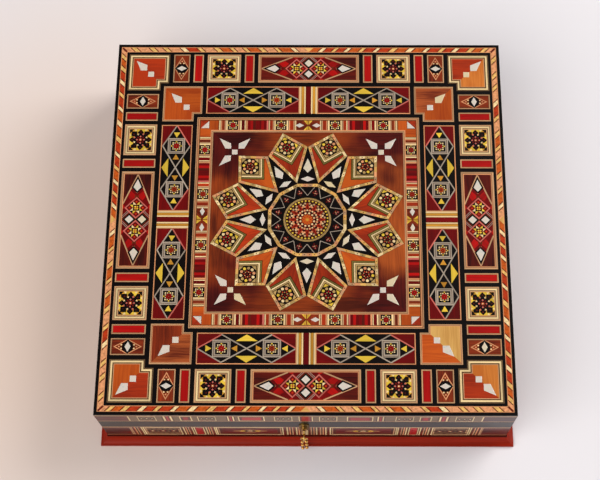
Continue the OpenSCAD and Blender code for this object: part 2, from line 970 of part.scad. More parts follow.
// One strand: a thread with small beads, a large one at every sixth place
module strand(place) {
    spread = atan(strand_x / (knot_z - strand_z));
    last = floor(strand_l / strand_step);
    translate([0, 0, knot_z - swing_z]) rotate([0, 180 - place * spread, 0])
        cylinder(h = (knot_z - strand_z) / cos(spread), r = thread_r);
    translate([place * strand_x, 0, strand_z - swing_z]) {
        translate([0, 0, -strand_l]) cylinder(h = strand_l, r = thread_r);
        for (bead = [0:last]) translate([0, 0, -bead * strand_step])
            sphere((bead + 4 + (place > 0 ? 1 : 0)) % bead_every == 0 ? bead_r : seed_r);
    }
}

// Two strands below a knot, with a whipping of thread round the wire of the ring
module bead_strands() {
    color("gold") translate([lock_x, eye_y, swing_z]) {
        rotate([0, 90, 0]) rotate_extrude() translate([whip_r, 0]) circle(whip_wire_r);
        translate([0, 0, knot_z - swing_z]) sphere(knot_r);
        for (place = [-1, 1]) strand(place);
    }
}

base_board();
base_felt();
plinth(0);  // plinth_front
plinth(1);  // plinth_right
plinth(2);  // plinth_back
plinth(3);  // plinth_left
wall_front();
wall_back();
wall_left();
wall_right();
body_mosaic_front();
body_mosaic_back();
body_mosaic_left();
body_mosaic_right();
rim_edging();
wall_linings();
floor_pad();
lid_board();
lid_rail_front();
lid_rail_back();
lid_rail_left();
lid_rail_right();
lid_mosaic_front();
lid_mosaic_back();
lid_mosaic_left();
lid_mosaic_right();
lid_lining();
ground_veneer();
rope_stringing();
outer_corner_tiles();
inner_corner_tiles();
diamond_tiles();
red_bars();
star_tiles();
long_panels();
inner_panels();
dividers();
mosaic_border();
field_veneers();
petal_tiles();
gap_triangles();
ring_stringing();
zigzag_ring();
rosette_disc();
pearl_inlays();
hinge_left_body_leaf();
hinge_left_lid_leaf();
hinge_right_body_leaf();
hinge_right_lid_leaf();
hinge_pins();
body_screws();
lid_screws();
lock_case();
lock_cover();
lock_bolt();
strike_plate();
keyhole_plate();
key();
strand_ring();
bead_strands();
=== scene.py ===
"""Inlaid wooden box: wood mosaic veneers with mother-of-pearl, lock, key, hinges and velvet."""

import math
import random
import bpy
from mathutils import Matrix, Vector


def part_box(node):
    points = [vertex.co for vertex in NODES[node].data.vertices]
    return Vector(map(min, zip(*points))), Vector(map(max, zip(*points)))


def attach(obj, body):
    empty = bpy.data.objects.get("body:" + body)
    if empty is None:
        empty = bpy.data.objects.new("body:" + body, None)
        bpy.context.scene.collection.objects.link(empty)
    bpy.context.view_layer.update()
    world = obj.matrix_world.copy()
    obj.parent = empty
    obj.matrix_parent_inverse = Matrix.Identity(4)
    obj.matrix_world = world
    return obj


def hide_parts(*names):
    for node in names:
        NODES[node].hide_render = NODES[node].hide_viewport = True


bl_info = {
    "name": "Inlaid Wooden Box",
    "version": (1, 0, 0),
    "blender": (4, 5, 0),
    "location": "3D View > Sidebar > Inlaid Box",
    "description": "Lays the marquetry, pearl, metal and velvet of a keepsake box round its frame",
    "category": "Object",
}

import bmesh
import bpy
from bpy.props import FloatProperty, FloatVectorProperty, IntProperty, PointerProperty
from bpy.types import NodeSocket, Operator, Panel, PropertyGroup
from mathutils import Matrix, Vector
from mathutils.geometry import delaunay_2d_cdt

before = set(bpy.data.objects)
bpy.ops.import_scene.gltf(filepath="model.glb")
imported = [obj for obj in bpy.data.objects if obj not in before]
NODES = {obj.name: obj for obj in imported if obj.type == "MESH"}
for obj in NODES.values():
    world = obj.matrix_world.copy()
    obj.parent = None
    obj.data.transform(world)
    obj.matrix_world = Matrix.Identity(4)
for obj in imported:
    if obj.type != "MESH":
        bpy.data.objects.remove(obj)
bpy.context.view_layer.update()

MM = 0.001
WAYS = (-1, 1)


def span_of(node):
    """Lowest and highest corner of a node, in mm."""
    return [[value / MM for value in corner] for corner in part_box(node)]


def reach(node, axis=0):
    """Furthest coordinate of a node along an axis, in mm."""
    return span_of(node)[1][axis]


# Sizes of the lid, in mm: its outlines come from the frame, the widths of its tiles are the pattern's own
HALF = reach("ground_veneer")
TOP_Z = reach("ground_veneer", 2)
VENEER = TOP_Z - span_of("ground_veneer")[0][2]
ROPE_OUT, ROPE_W = reach("rope_stringing"), 4.2
OUTER_OUT, OUTER_W = reach("outer_corner_tiles"), 23.1
OUTER_MID = OUTER_OUT - OUTER_W / 2
INNER_OUT, INNER_W = reach("inner_corner_tiles"), 22.1
INNER_MID = INNER_OUT - INNER_W / 2
BORDER_OUT, FIELD = reach("mosaic_border"), reach("field_veneers")
BORDER_W = BORDER_OUT - FIELD
CORNER_W, INNER_CORNER_W, NOTCH = 29.8, 28.4, 6.0
TILE_GAP, DIAMOND_W, BAR_W, STAR_W, DIVIDER_W = 3.0, 11.8, 6.9, 24.4, 12.6
OUTER_PEARLS, INNER_PEARLS, EYE_ROW = (16.4, 4.4, 11.3), (17.0, 5.3, 10.8), 4.5
DIAMOND_X = OUTER_OUT - CORNER_W - TILE_GAP - DIAMOND_W
BAR_FAR_X = DIAMOND_X - TILE_GAP - BAR_W
STAR_X = BAR_FAR_X - TILE_GAP - STAR_W
BAR_NEAR_X = STAR_X - TILE_GAP - BAR_W
LONG_X = BAR_NEAR_X - TILE_GAP
PANEL_FAR_X = INNER_OUT - INNER_CORNER_W - TILE_GAP
PANEL_NEAR_X = DIVIDER_W / 2

# Sizes of the star, in mm
PETALS = 12
STEP = 360 / PETALS
SLANT = math.cos(math.radians(STEP / 2))
TIP_R = (FIELD - 0.5) / SLANT
SHOULDER_R = 0.81 * TIP_R
RING_R, RING_W, ROSETTE_R = 27.6, 2.6, 16.6
RING_VERTEX_R, RING_INNER_VERTEX_R = RING_R / SLANT, (RING_R - RING_W) / SLANT
GAP_H = SHOULDER_R - RING_R
GAP_HALF = RING_VERTEX_R * math.sin(math.radians(STEP / 2))
FIELD_PEARL_X = TIP_R * math.sqrt(0.5) + 2.8
FIELD_REACH = (FIELD - FIELD_PEARL_X) * math.sqrt(2)

# Heights of the sides
BODY_LOW, BODY_HIGH = span_of("body_mosaic_front")[0][2], reach("body_mosaic_front", 2)
LID_LOW, LID_HIGH = span_of("lid_mosaic_front")[0][2], reach("lid_mosaic_front", 2)

# Place of the lock along the front
LOCK_X = -1.5


# ---- sizes and colours that a user would change ----


def stain(red, green, blue):
    """Colour of a wood or a metal, from 8-bit values."""
    shares = (value / 255 for value in (red, green, blue))
    return tuple(s / 12.92 if s <= 0.04045 else ((s + 0.055) / 1.055) ** 2.4 for s in shares)


def colour(name, about, *default):
    return FloatVectorProperty(name=name, description=about, subtype="COLOR", size=3, min=0, max=1,
                               default=stain(*default))


def portion(name, about, default):
    return FloatProperty(name=name, description=about, default=default, min=0, max=1, subtype="FACTOR")


def length(name, about, default, low, high):
    return FloatProperty(name=name, description=about, default=default, min=low, max=high, precision=5,
                         subtype="DISTANCE", unit="LENGTH")


class BoxWoods(PropertyGroup):
    """Colours of the woods, the pearl, the metals and the cloth."""
    cream: colour("Lemonwood", "Palest inlay lines", 238, 208, 152)
    lemon: colour("Barberry", "Yellow inlay triangles", 226, 188, 62)
    tan: colour("Beech", "Tan border lines", 196, 150, 108)
    khaki: colour("Olivewood", "Khaki inlay blocks", 184, 150, 92)
    peach: colour("Pear", "Peach inlay blocks", 220, 150, 102)
    ash: colour("Ash", "Pale grey inlay lines", 172, 156, 138)
    honey: colour("Mulberry", "Honey-brown bars", 204, 144, 48)
    orange: colour("Apricot", "Orange veneers", 190, 84, 24)
    ember: colour("Paduk", "Orange-red veneers", 176, 53, 17)
    scarlet: colour("Red-stained maple", "Bright red inlays", 178, 12, 8)
    crimson: colour("Red-stained walnut", "Dark red inlays", 112, 4, 4)
    maroon: colour("Rosewood", "Dark red-brown veneers", 98, 22, 10)
    russet: colour("Walnut heart", "Red-brown veneers", 146, 52, 20)
    tiger: colour("Tigerwood", "Striped brown halves of corner tiles", 176, 86, 40)
    burr: colour("Field rosewood", "Streaked veneers behind the star", 158, 64, 22)
    burr_right: colour("Pale field rosewood", "Quarter veneer at the right of the star", 176, 84, 32)
    olive: colour("Greenwood", "Olive lines of the petals", 120, 104, 48)
    dusk: colour("Weathered ash", "Dim outer lines", 116, 88, 58)
    umber: colour("Smoked oak", "Dark brown lines", 82, 50, 18)
    pink: colour("Rose-stained maple", "Pink inlays", 206, 106, 92)
    apricot: colour("Apricot heart", "Orange-tan halves of corner tiles", 206, 124, 52)
    straw: colour("Plane", "Pale halves of corner tiles", 226, 178, 100)
    ebony: colour("Ebony", "Black veneers and lines", 8, 2, 1)
    mahogany: colour("Mahogany", "Plinth moulding", 146, 30, 4)
    walnut: colour("Walnut", "Walls and rails inside the box", 92, 58, 34)
    pine: colour("Pine", "Base board and lid board", 206, 168, 118)
    pearl: colour("Mother-of-pearl", "Shell inlays", 208, 200, 188)
    brass: colour("Brass", "Hinges, screws, lock and key", 206, 166, 96)
    old_brass: colour("Aged brass", "Keyhole plate and lock case", 140, 112, 56)
    gilt: colour("Gilt", "Large beads and wire ring", 220, 164, 84)
    # Dark gilt of the small beads and thread: partly their own darker gilt, partly painted shade in the gaps between
    # the large beads
    old_gilt: colour("Old gilt", "Small beads and thread", 150, 96, 34)
    steel: colour("Steel", "Lock bolt", 186, 186, 188)
    velvet: colour("Velvet", "Lining of the box and the lid", 128, 14, 24)
    felt: colour("Felt", "Cloth under the base", 34, 62, 44)


class BoxFinish(PropertyGroup):
    """Sizes and finishes of the pieces."""
    lacquer: portion("Lacquer", "Strength of the clear lacquer over the wood", 0.38)
    lacquer_roughness: portion("Lacquer roughness", "How much the lacquer blurs reflections", 0.13)
    figure: portion("Figure", "Strength of the grain in the woods", 0.55)
    slash: length("Rope slash", "Length of the dark slashes in the rope stringing", 0.0010, 0.0002, 0.0014)
    rope_edge: length("Rope edge", "Width of the pale line along each edge of the rope", 0.00045, 0.0002, 0.0008)
    pearl_bevel: length("Pearl bevel", "Width of the bevel round each piece of shell", 0.00018, 0.00005, 0.0003)
    pad_edge: length("Pad edge", "Radius of the soft edge of the floor pad", 0.006, 0.002, 0.01)
    # Height of the black band along the plinth's top, which is painted shade below the body
    black_line: length("Black line", "Height of the black line along the top of the plinth", 0.0019, 0.0, 0.004)
    screw_slot: length("Screw slot", "Width of the slot in the screw heads", 0.0005, 0.0003, 0.0008)
    bead_sides: IntProperty(name="Bead sides", description="Segments round each bead", default=16, min=8, max=32)
    seed: IntProperty(name="Seed", description="Seed for the variation between pieces of wood", default=7, min=0)


def tone_of(name):
    """Colour of a wood or a metal as it is set now."""
    return tuple(getattr(bpy.context.scene.box_woods, name))


def finish():
    return bpy.context.scene.box_finish


# Darkest streaks of the woods with a strong figure, and how strong it is
FIGURES = {
    "ebony": (stain(4, 1, 1), 0.6), "maroon": (stain(40, 8, 6), 1.6), "russet": (stain(70, 18, 8), 1.5),
    "ember": (stain(104, 26, 12), 1.3), "orange": (stain(140, 46, 12), 1.3), "crimson": (stain(64, 4, 4), 1.2),
    "scarlet": (stain(110, 8, 8), 1.1), "honey": (stain(130, 78, 20), 1.0), "apricot": (stain(160, 74, 20), 1.1),
    "straw": (stain(172, 112, 48), 1.1), "burr": (stain(58, 14, 8), 1.5), "tiger": (stain(92, 28, 14), 1.7),
    "burr_right": (stain(96, 30, 12), 1.3),
}


# ---- materials ----


def opaque(tone):
    return tuple(tone) + (1.0,)


def darker(light, share):
    return opaque(channel * share for channel in light)


def add_sockets(tree, way, **kinds):
    """Named inputs or outputs of a tree, each with its kind."""
    for label, kind in kinds.items():
        tree.interface.new_socket(label, in_out=way, socket_type="NodeSocket" + kind)


class Nodes:
    """Adds nodes to one tree; each call gives an output of the new node."""

    def __init__(self, tree):
        self.tree = tree

    def fill(self, node, inputs):
        for key, value in inputs.items():
            if isinstance(value, NodeSocket):
                self.tree.links.new(value, node.inputs[key])
            else:
                node.inputs[key].default_value = value

    def add(self, kind, inputs=(), out=0, **settings):
        node = self.tree.nodes.new(kind)
        for key, value in settings.items():
            setattr(node, key, value)
        self.fill(node, dict(inputs))
        return node.outputs[out]

    def math(self, operation, *values):
        return self.add("ShaderNodeMath", enumerate(values), operation=operation)

    def vector(self, operation, *values, out=0):
        return self.add("ShaderNodeVectorMath", enumerate(values), out, operation=operation)

    def combine(self, **parts):
        return self.add("ShaderNodeCombineXYZ", parts)

    def separate(self, value):
        return self.add("ShaderNodeSeparateXYZ", {"Vector": value}).node.outputs

    def place(self):
        return self.add("ShaderNodeTexCoord", out="Object")

    def stretch(self, value, scale):
        return self.add("ShaderNodeMapping", {"Vector": value, "Scale": scale})

    def noise(self, where, scale, detail, **more):
        return self.add("ShaderNodeTexNoise", {"Vector": where, "Scale": scale, "Detail": detail, **more})

    def spread(self, value, low, high, to_low=0.0, to_high=1.0, **settings):
        ends = {"From Min": low, "From Max": high, "To Min": to_low, "To Max": to_high}
        return self.add("ShaderNodeMapRange", {"Value": value, **ends}, **settings)

    def mix(self, share, first, second):
        return self.add("ShaderNodeMix", {"Factor": share, "A": first, "B": second}, 2, data_type="RGBA")

    def attribute(self, name):
        return self.add("ShaderNodeAttribute", out="Fac", attribute_name=name)

    def ramp(self, share, stops, interpolation="LINEAR"):
        made = self.add("ShaderNodeValToRGB", {"Fac": share})
        made.node.color_ramp.interpolation = interpolation
        points = made.node.color_ramp.elements
        for at, _ in stops[2:]:
            points.new(at)
        for point, (at, tone) in zip(points, stops):
            point.position, point.color = at, opaque(tone)
        return made


class Surface(Nodes):
    """A new material and its shader."""

    def __init__(self, name):
        self.material = bpy.data.materials.new(name)
        self.material.use_nodes = True
        super().__init__(self.material.node_tree)
        self.shader = self.tree.nodes["Principled BSDF"]

    def bump(self, height, strength, distance):
        self.set({"Normal": self.add("ShaderNodeBump", {"Height": height, "Strength": strength,
                                                        "Distance": distance})})

    def set(self, inputs):
        self.fill(self.shader, inputs)

    def lacquer(self, weight=1.0):
        self.set({"Roughness": 0.42, "Specular IOR Level": 0.12, "IOR": 1.45,
                  "Coat Weight": finish().lacquer * weight, "Coat Roughness": finish().lacquer_roughness})


def grain_group():
    """Wood figure, shared by all the inlays: long streaks, pores and a tone for each piece of wood."""
    name = "wood grain"
    if name in bpy.data.node_groups:
        return bpy.data.node_groups[name]
    tree = bpy.data.node_groups.new(name, "ShaderNodeTree")
    add_sockets(tree, "INPUT", Along="Vector", Light="Color", Dark="Color", Figure="Float", Tone="Float")
    add_sockets(tree, "OUTPUT", Color="Color", Height="Float")
    nodes = Nodes(tree)
    source = tree.nodes.new("NodeGroupInput").outputs
    bend = nodes.vector("MULTIPLY", nodes.noise(source["Along"], 0.12, 1.0).node.outputs["Color"], (0, 1.6, 0))
    along = nodes.vector("ADD", source["Along"], bend)
    streaks = nodes.noise(nodes.stretch(along, (0.035, 0.85, 1)), 1.0, 5.0, Roughness=0.62)
    pores = nodes.noise(nodes.stretch(along, (0.35, 6.0, 1)), 1.0, 3.0)
    patch = nodes.noise(nodes.stretch(along, (0.02, 0.055, 1)), 1.0, 2.0)
    uneven = nodes.math("MULTIPLY_ADD", patch, 1.5, streaks)
    height = nodes.math("MAXIMUM", nodes.spread(uneven, 1.02, 1.46), nodes.spread(pores, 0.56, 0.74, 0.0, 0.5))
    shade = nodes.mix(nodes.math("MULTIPLY", height, source["Figure"]), source["Light"], source["Dark"])
    value = nodes.spread(nodes.math("ADD", patch, source["Tone"]), 0.3, 1.7, 0.74, 1.2)
    toned = nodes.add("ShaderNodeHueSaturation", {"Value": value, "Color": shade})
    nodes.fill(tree.nodes.new("NodeGroupOutput"), {"Color": toned, "Height": height})
    return tree


def inlay_wood(name):
    """Lacquered wood whose grain follows each piece's own map."""
    label = name + " inlay"
    if label in bpy.data.materials:
        return bpy.data.materials[label]
    dark, figure = FIGURES.get(name, (darker(tone_of(name), 0.55)[:3], 1.0))
    inlay = Surface(label)
    grain = inlay.add("ShaderNodeGroup", node_tree=grain_group()).node
    inlay.fill(grain, {"Along": inlay.add("ShaderNodeUVMap", uv_map="grain"), "Tone": inlay.attribute("tone"),
                       "Light": opaque(tone_of(name)), "Dark": opaque(dark), "Figure": finish().figure * figure})
    inlay.set({"Base Color": grain.outputs["Color"]})
    inlay.bump(grain.outputs["Height"], 0.12, 0.00004)
    inlay.lacquer()
    return inlay.material


def plain_wood(name, colour_name, along=(0.035, 0.85, 0.85), share=0.45, gloss=1.0, painted_shade_above=None):
    """Wood whose grain runs along one axis of the box, black above a height if one is given, as painted shade."""
    light = tone_of(colour_name)
    board = Surface(name)
    place = board.place()
    streaks = board.noise(board.stretch(place, [s / MM for s in along]), 1.0, 6.0, Roughness=0.62, Distortion=0.4)
    shade = board.mix(board.spread(streaks, 0.32, 0.7, 0.0, finish().figure), opaque(light), darker(light, share))
    # Black above the given height: painted shade where the wood meets the part above it
    if painted_shade_above:
        above = board.math("GREATER_THAN", board.separate(place)["Z"], painted_shade_above)
        shade = board.mix(above, shade, darker(light, 0.16))
    board.set({"Base Color": shade})
    board.bump(streaks, 0.15, 0.00008)
    board.lacquer(gloss)
    return board.material


def metal(name, colour_name, roughness=0.28, tarnish=0.35, scale=260.0):
    """Metal with patches of tarnish and fine rubbing marks."""
    light = tone_of(colour_name)
    sheet = Surface(name)
    place = sheet.place()
    patches = sheet.noise(place, scale, 5.0, Roughness=0.6)
    shade = sheet.mix(sheet.spread(patches, 0.4, 0.72, 0.0, tarnish), opaque(light), darker(light, 0.35))
    sheet.set({"Base Color": shade, "Metallic": 1.0,
               "Roughness": sheet.spread(patches, 0.3, 0.75, roughness - 0.08, roughness + 0.22)})
    sheet.bump(sheet.noise(place, scale * 12, 2.0), 0.12, 0.00003)
    return sheet.material


def shell():
    """Mother-of-pearl: pale shell with soft bands of pink, green and grey-blue."""
    pearl = Surface("mother of pearl")
    tone = pearl.attribute("tone")
    moved_place = pearl.vector("ADD", pearl.place(), pearl.combine(X=tone, Z=tone))
    bands = pearl.noise(moved_place, 210.0, 3.0, Distortion=1.4)
    tints = ((0.30, (0.80, 0.86, 0.92)), (0.42, (1.0, 1.0, 0.98)), (0.52, (1.04, 0.93, 0.93)),
             (0.60, (0.97, 1.02, 0.93)), (0.72, (0.86, 0.86, 0.90)))
    shades = pearl.ramp(bands, [(at, [min(1.0, c * t) for c, t in zip(tone_of("pearl"), tint)])
                                for at, tint in tints])
    warm = pearl.spread(tone, 0.72, 1.0, 0.0, 0.75)
    pearl.bump(bands, 0.2, 0.0001)
    pearl.set({"Base Color": pearl.mix(warm, shades, opaque(stain(214, 190, 132))), "Roughness": 0.22,
               "Specular IOR Level": 0.7, "Coat Weight": finish().lacquer,
               "Coat Roughness": finish().lacquer_roughness})
    return pearl.material


def cloth(name, colour_name, nap, scale=900.0):
    """Short pile: fine speckle, brushed patches and a soft sheen at grazing angles."""
    light = tone_of(colour_name)
    weave = Surface(name)
    place = weave.place()
    pile = weave.noise(place, scale, 2.0)
    both = weave.math("MULTIPLY_ADD", weave.noise(place, 34.0, 4.0, Distortion=0.3), 0.5, pile)
    weave.set({"Base Color": weave.mix(weave.spread(both, 0.45, 1.05), darker(light, 0.5), darker(light, 1.2)),
               "Roughness": 0.85, "Specular IOR Level": 0.2, "Sheen Weight": nap, "Sheen Roughness": 0.45,
               "Sheen Tint": darker(light, 2.2)})
    weave.bump(pile, 0.6, 0.0003)
    return weave.material


# ---- drawing in the plane, in mm ----


def polar(radius, degrees):
    turn = math.radians(degrees)
    return (radius * math.cos(turn), radius * math.sin(turn))


def block(left, low, right, high):
    return [(left, low), (right, low), (right, high), (left, high)]


def moved(points, x, y, turn=0.0):
    c, s = math.cos(math.radians(turn)), math.sin(math.radians(turn))
    return [(x + px * c - py * s, y + px * s + py * c) for px, py in points]


def rhomb(x, y, half_x, half_y, turn=0.0):
    return moved([(half_x, 0), (0, half_y), (-half_x, 0), (0, -half_y)], x, y, turn)


def ring_of(count, radius, start=0.0):
    """Points spaced evenly round a circle."""
    return [polar(radius, start + 360 * place / count) for place in range(count)]


def ball(x, y, radius, turn=0.0):
    """Small round of wood, six-sided as the sawn rods are."""
    return moved(ring_of(6, radius), x, y, turn)


def burst(points, outer, inner, start=0.0):
    """Star with sharp points at the outer radius."""
    return [polar(inner if place % 2 else outer, start + 180 * place / points) for place in range(2 * points)]


def kite(tip, wide_at, half_w, tail):
    return [(tip, 0), (wide_at, half_w), (tail, 0), (wide_at, -half_w)]


def between(a, b, share):
    return (a[0] + (b[0] - a[0]) * share, a[1] + (b[1] - a[1]) * share)


def ring_pairs(items):
    """Each item with the one after it, round to the first again."""
    return list(zip(items, items[1:] + items[:1]))


def heading(start, end):
    return math.degrees(math.atan2(end[1] - start[1], end[0] - start[0]))


def area(points):
    return sum(a[0] * b[1] - b[0] * a[1] for a, b in ring_pairs(points)) / 2


def anticlockwise(points):
    return points if area(points) > 0 else points[::-1]


def inset(points, distance):
    """Outline moved inwards by the same distance on every side."""
    points = anticlockwise(points)
    result = []
    for before, here, after in zip(points[-1:] + points[:-1], points, points[1:] + points[:1]):
        first = Vector((here[0] - before[0], here[1] - before[1])).normalized()
        second = Vector((after[0] - here[0], after[1] - here[1])).normalized()
        share = distance / (1 + first.dot(second))
        result.append((here[0] - share * (first.y + second.y), here[1] + share * (first.x + second.x)))
    return result


class Sheet:
    """Pieces of wood laid over one another on an outline; where two meet, the later one shows."""

    def __init__(self, outline, wood, grain=0.0):
        self.shapes = []
        self.lay(outline, wood, grain)

    def lay(self, points, wood, grain=0.0):
        self.shapes.append((points, wood, grain))

    def holes(self, outlines):
        for points in outlines:
            self.lay(points, None)

    def stamp(self, x, y, scale=1.0, turn=0.0):
        """A way to lay pieces round a place, in units of a size, each with a turn of its own if it needs one."""
        def put(points, wood, more=0.0):
            self.lay(moved([(scale * a, scale * b) for a, b in points], x, y, turn + more), wood)
        return put

    def line(self, start, end, width, wood):
        turn = heading(start, end)
        self.lay(moved(block(0, -width / 2, math.dist(start, end), width / 2), *start, turn), wood, turn)

    def seed(self, radius, degrees, half_x, half_y, wood, aside=0.0):
        """A rhombus on a circle round the middle, pointing along a ray and moved aside from it."""
        self.lay(rhomb(*polar(radius, degrees + aside), half_x, half_y, degrees), wood)

    def rim(self, points, start, width, wood):
        """Mitred strips just inside an outline, each with its grain lengthwise."""
        outer, inner = ring_pairs(inset(points, start)), ring_pairs(inset(points, start + width))
        for (a, b), (d, c) in zip(outer, inner):
            self.lay([a, b, c, d], wood, heading(a, b))

    def rims(self, points, courses):
        """Nested lines from the outline inwards; returns the outline that is left."""
        start = 0.0
        for width, wood in courses:
            self.rim(points, start, width, wood)
            start += width
        return inset(points, start)

    def framed(self, points, courses, wood, grain=0.0):
        """Nested lines and the wood inside them."""
        self.lay(self.rims(points, courses), wood, grain)

    def dotted(self, start, end, inner_start, inner_end, blocks, seed):
        """A strip of stringing: blocks of pale woods, most with a dark dot."""
        chance = random.Random(seed)
        names = ("khaki", "straw", "tan", "peach", "straw", "khaki", "cream")
        first = chance.randrange(len(names))
        for place in range(blocks):
            near, far = place / blocks, (place + 1) / blocks
            a, b = between(start, end, near), between(start, end, far)
            c, d = between(inner_start, inner_end, far), between(inner_start, inner_end, near)
            self.lay([a, b, c, d], names[(first + place) % len(names)], heading(start, end))
            middle = between(between(a, c, 0.5), between(b, d, 0.5), 0.5)
            if chance.random() < 0.8:
                self.lay(rhomb(*middle, 0.5, 0.42, heading(start, end)), "ebony")


def saw(shapes):
    """Cuts overlapping shapes into pieces that only meet. Returns points and (face, index of its shape)."""
    points, faces = [], []
    for outline, _, _ in shapes:
        faces.append(list(range(len(points), len(points) + len(outline))))
        points += [Vector(point) for point in anticlockwise(list(outline))]
    places, _, pieces, _, _, owners = delaunay_2d_cdt(points, [], faces, 3, 1e-4, True)
    places = [tuple(place) for place in places]
    cut = [(list(piece), max(owner)) for piece, owner in zip(pieces, owners)
           if 0 in owner and shapes[max(owner)][1] is not None]
    return places, [(piece if area([places[i] for i in piece]) >= 0 else piece[::-1], owner) for piece, owner in cut]


def solid(name, points, faces, material=None, smooth=False):
    """A new object from its points, in metres, and faces."""
    mesh = bpy.data.meshes.new(name)
    mesh.from_pydata(points, [], faces)
    if material:
        mesh.materials.append(material)
    mesh.polygons.foreach_set("use_smooth", [smooth] * len(mesh.polygons))
    mesh.update()
    return linked(bpy.data.objects.new(name, mesh))


def linked(item):
    bpy.context.scene.collection.objects.link(item)
    return item


def settle(piece, body, replaced):
    """Puts a finished piece on its body, in place of its frame nodes."""
    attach(piece, body)
    if replaced:
        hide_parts(*replaced)


def turned(degrees):
    return Matrix.Rotation(math.radians(degrees), 4, "Z")


def on_lid(degrees, way=1):
    """The plane of the lid's top, turned about its middle, and mirrored if the way is -1."""
    return Matrix.Translation((0, 0, TOP_Z)) @ turned(degrees) @ Matrix.Diagonal((way, 1, 1, 1))


# The map that the colours are baked to: the tops fill a square at its left, and the narrow column beside it holds
# the undersides at its foot and a cell for each edge of the veneers above them
MAP_MARGIN, MAP_TOP, MAP_COLUMN, MAP_UNDER, MAP_EDGES = 0.003, 0.93, 0.942, 0.055, 0.065
EDGE_COLUMNS, EDGE_FILL = 12, 0.8
# Furthest shift of the grain between two pieces of one wood, in mm
GRAIN_SHIFT = 500
LID, BODY = "lid", "box_body"


class Slab:
    """Closed veneers built up from sawn sheets: one mesh for all the copies of a piece."""

    def __init__(self, name, span=((-HALF, -HALF), (HALF, HALF))):
        self.name, self.span = name, span
        self.points, self.faces, self.names, self.sides = [], [], [], 0
        self.chance = random.Random(name + str(finish().seed))

    def add_face(self, corners, wood, grain, tone, bake):
        if wood not in self.names:
            self.names.append(wood)
        self.faces.append((corners, self.names.index(wood), grain, tone, bake))

    def lay(self, sheet, places, mitre=math.inf):
        """Copies of a sheet: each place puts its plane in the box, with the back face a veneer's thickness below."""
        flat, pieces = saw(sheet.shapes)
        for place in places:
            self.copy(sheet.shapes, flat, pieces, place, mitre)

    def copy(self, shapes, flat, pieces, place, mitre):
        """One copy: tops, undersides and outer edges, each face with its wood, grain, tone and place on the map."""
        used = sorted({corner for piece, _ in pieces for corner in piece})
        number = {corner: len(self.points) + rank for rank, corner in enumerate(used)}
        lower = len(used)
        for depth, limit in ((0, math.inf), (-VENEER, mitre)):
            self.points += [place @ Vector((max(-limit, min(limit, flat[corner][0])), flat[corner][1], depth))
                            for corner in used]
        flip = place.to_3x3().determinant() < 0
        # the two axes of the box that the sheet lies along
        axes = [axis for axis in range(3) if abs(place.col[2][axis]) < 0.5]
        offsets = [[self.chance.uniform(-GRAIN_SHIFT, GRAIN_SHIFT) for _ in range(2)] for _ in shapes]
        tones = [self.chance.random() for _ in shapes]
        edges = {}
        for piece, owner in pieces:
            _, wood, angle = shapes[owner]
            c, s = math.cos(math.radians(angle)), math.sin(math.radians(angle))
            grain, bake = {}, {}
            for corner in piece:
                x, y = flat[corner]
                grain[corner] = (x * c + y * s + offsets[owner][0], -x * s + y * c + offsets[owner][1])
                spot = place @ Vector((x, y, 0))
                bake[corner] = [(spot[axis] - low) / (high - low) for axis, low, high in zip(axes, *self.span)]
            top = piece[::-1] if flip else piece
            for face, down, left, size in ((top, 0, MAP_MARGIN, MAP_TOP), (top[::-1], lower, MAP_COLUMN, MAP_UNDER)):
                self.add_face([number[p] + down for p in face], wood, [grain[p] for p in face], tones[owner],
                              [(left + size * u, MAP_MARGIN + size * v) for u, v in map(bake.get, face)])
            for a, b in ring_pairs(top):
                edges.setdefault((a, b), (wood, grain[a], grain[b], tones[owner]))
        for (a, b), (wood, grain_a, grain_b, tone) in edges.items():
            if (b, a) in edges:
                continue
            row, column = divmod(self.sides, EDGE_COLUMNS)
            self.sides += 1
            self.add_face([number[b], number[a], number[a] + lower, number[b] + lower], wood,
                          [grain_b, grain_a] + [(grain[0], grain[1] - VENEER) for grain in (grain_a, grain_b)],
                          tone, [("edge", column + u, row + v) for u, v in block(0, 0, EDGE_FILL, EDGE_FILL)])

    def lay_round(self, sheet, mirrored=False, sides=range(4)):
        """Copies of a sheet drawn on the front side of the lid, on all its sides or on some, mirrored or not."""
        self.lay(sheet, [on_lid(90 * side, way) for side in sides for way in ((1, -1) if mirrored else (1,))])
        return self

    def build(self, node, slot_name, body=LID):
        """The finished piece, on its body and in place of its frame node."""
        corners, woods, grain, tones, bake = zip(*self.faces)
        rows = self.sides // EDGE_COLUMNS + 1
        bake = [(MAP_COLUMN + MAP_UNDER * spot[1] / EDGE_COLUMNS, MAP_EDGES + MAP_TOP * spot[2] / rows)
                if spot[0] == "edge" else spot for face in bake for spot in face]
        piece = solid(self.name, [point * MM for point in self.points], corners)
        mesh = piece.data
        mesh.polygons.foreach_set("material_index", woods)
        for layer, values in (("grain", [pair for face in grain for pair in face]), ("OFBake", bake)):
            mesh.uv_layers.new(name=layer).data.foreach_set("uv", [v for pair in values for v in pair])
        mesh.attributes.new("tone", "FLOAT", "FACE").data.foreach_set("value", tones)
        for wood in self.names:
            mesh.materials.append(inlay_wood(wood))
        mesh.validate()
        mesh.update()
        settle(piece, body, [node] if node else [])


# ---- outlines that several pieces share ----


def corner_pearls(out, square_in, kite_in, kite_l, half=2.1, kite_w=3.2):
    """Outlines of the square and the kite of shell in a corner tile."""
    x, y = out - square_in, square_in - out
    return [moved(block(-half, -half, half, half), x, y),
            moved(moved(kite(kite_l, kite_w, kite_w, 0), kite_in, 0), x, y, -45)]


def diamond_pearl():
    return rhomb(DIAMOND_X + DIAMOND_W / 2, -OUTER_MID, DIAMOND_W * 0.31, 2)


def long_pearls():
    """Kites at the ends of a long panel and the two squares at its middle."""
    shapes = [moved(kite(0, -6.1, 2.8, -9.2), way * (LONG_X - 6), -OUTER_MID, 0 if way > 0 else 180) for way in WAYS]
    return shapes + [rhomb(0, -OUTER_MID + row * EYE_ROW, 3, 3) for row in WAYS]


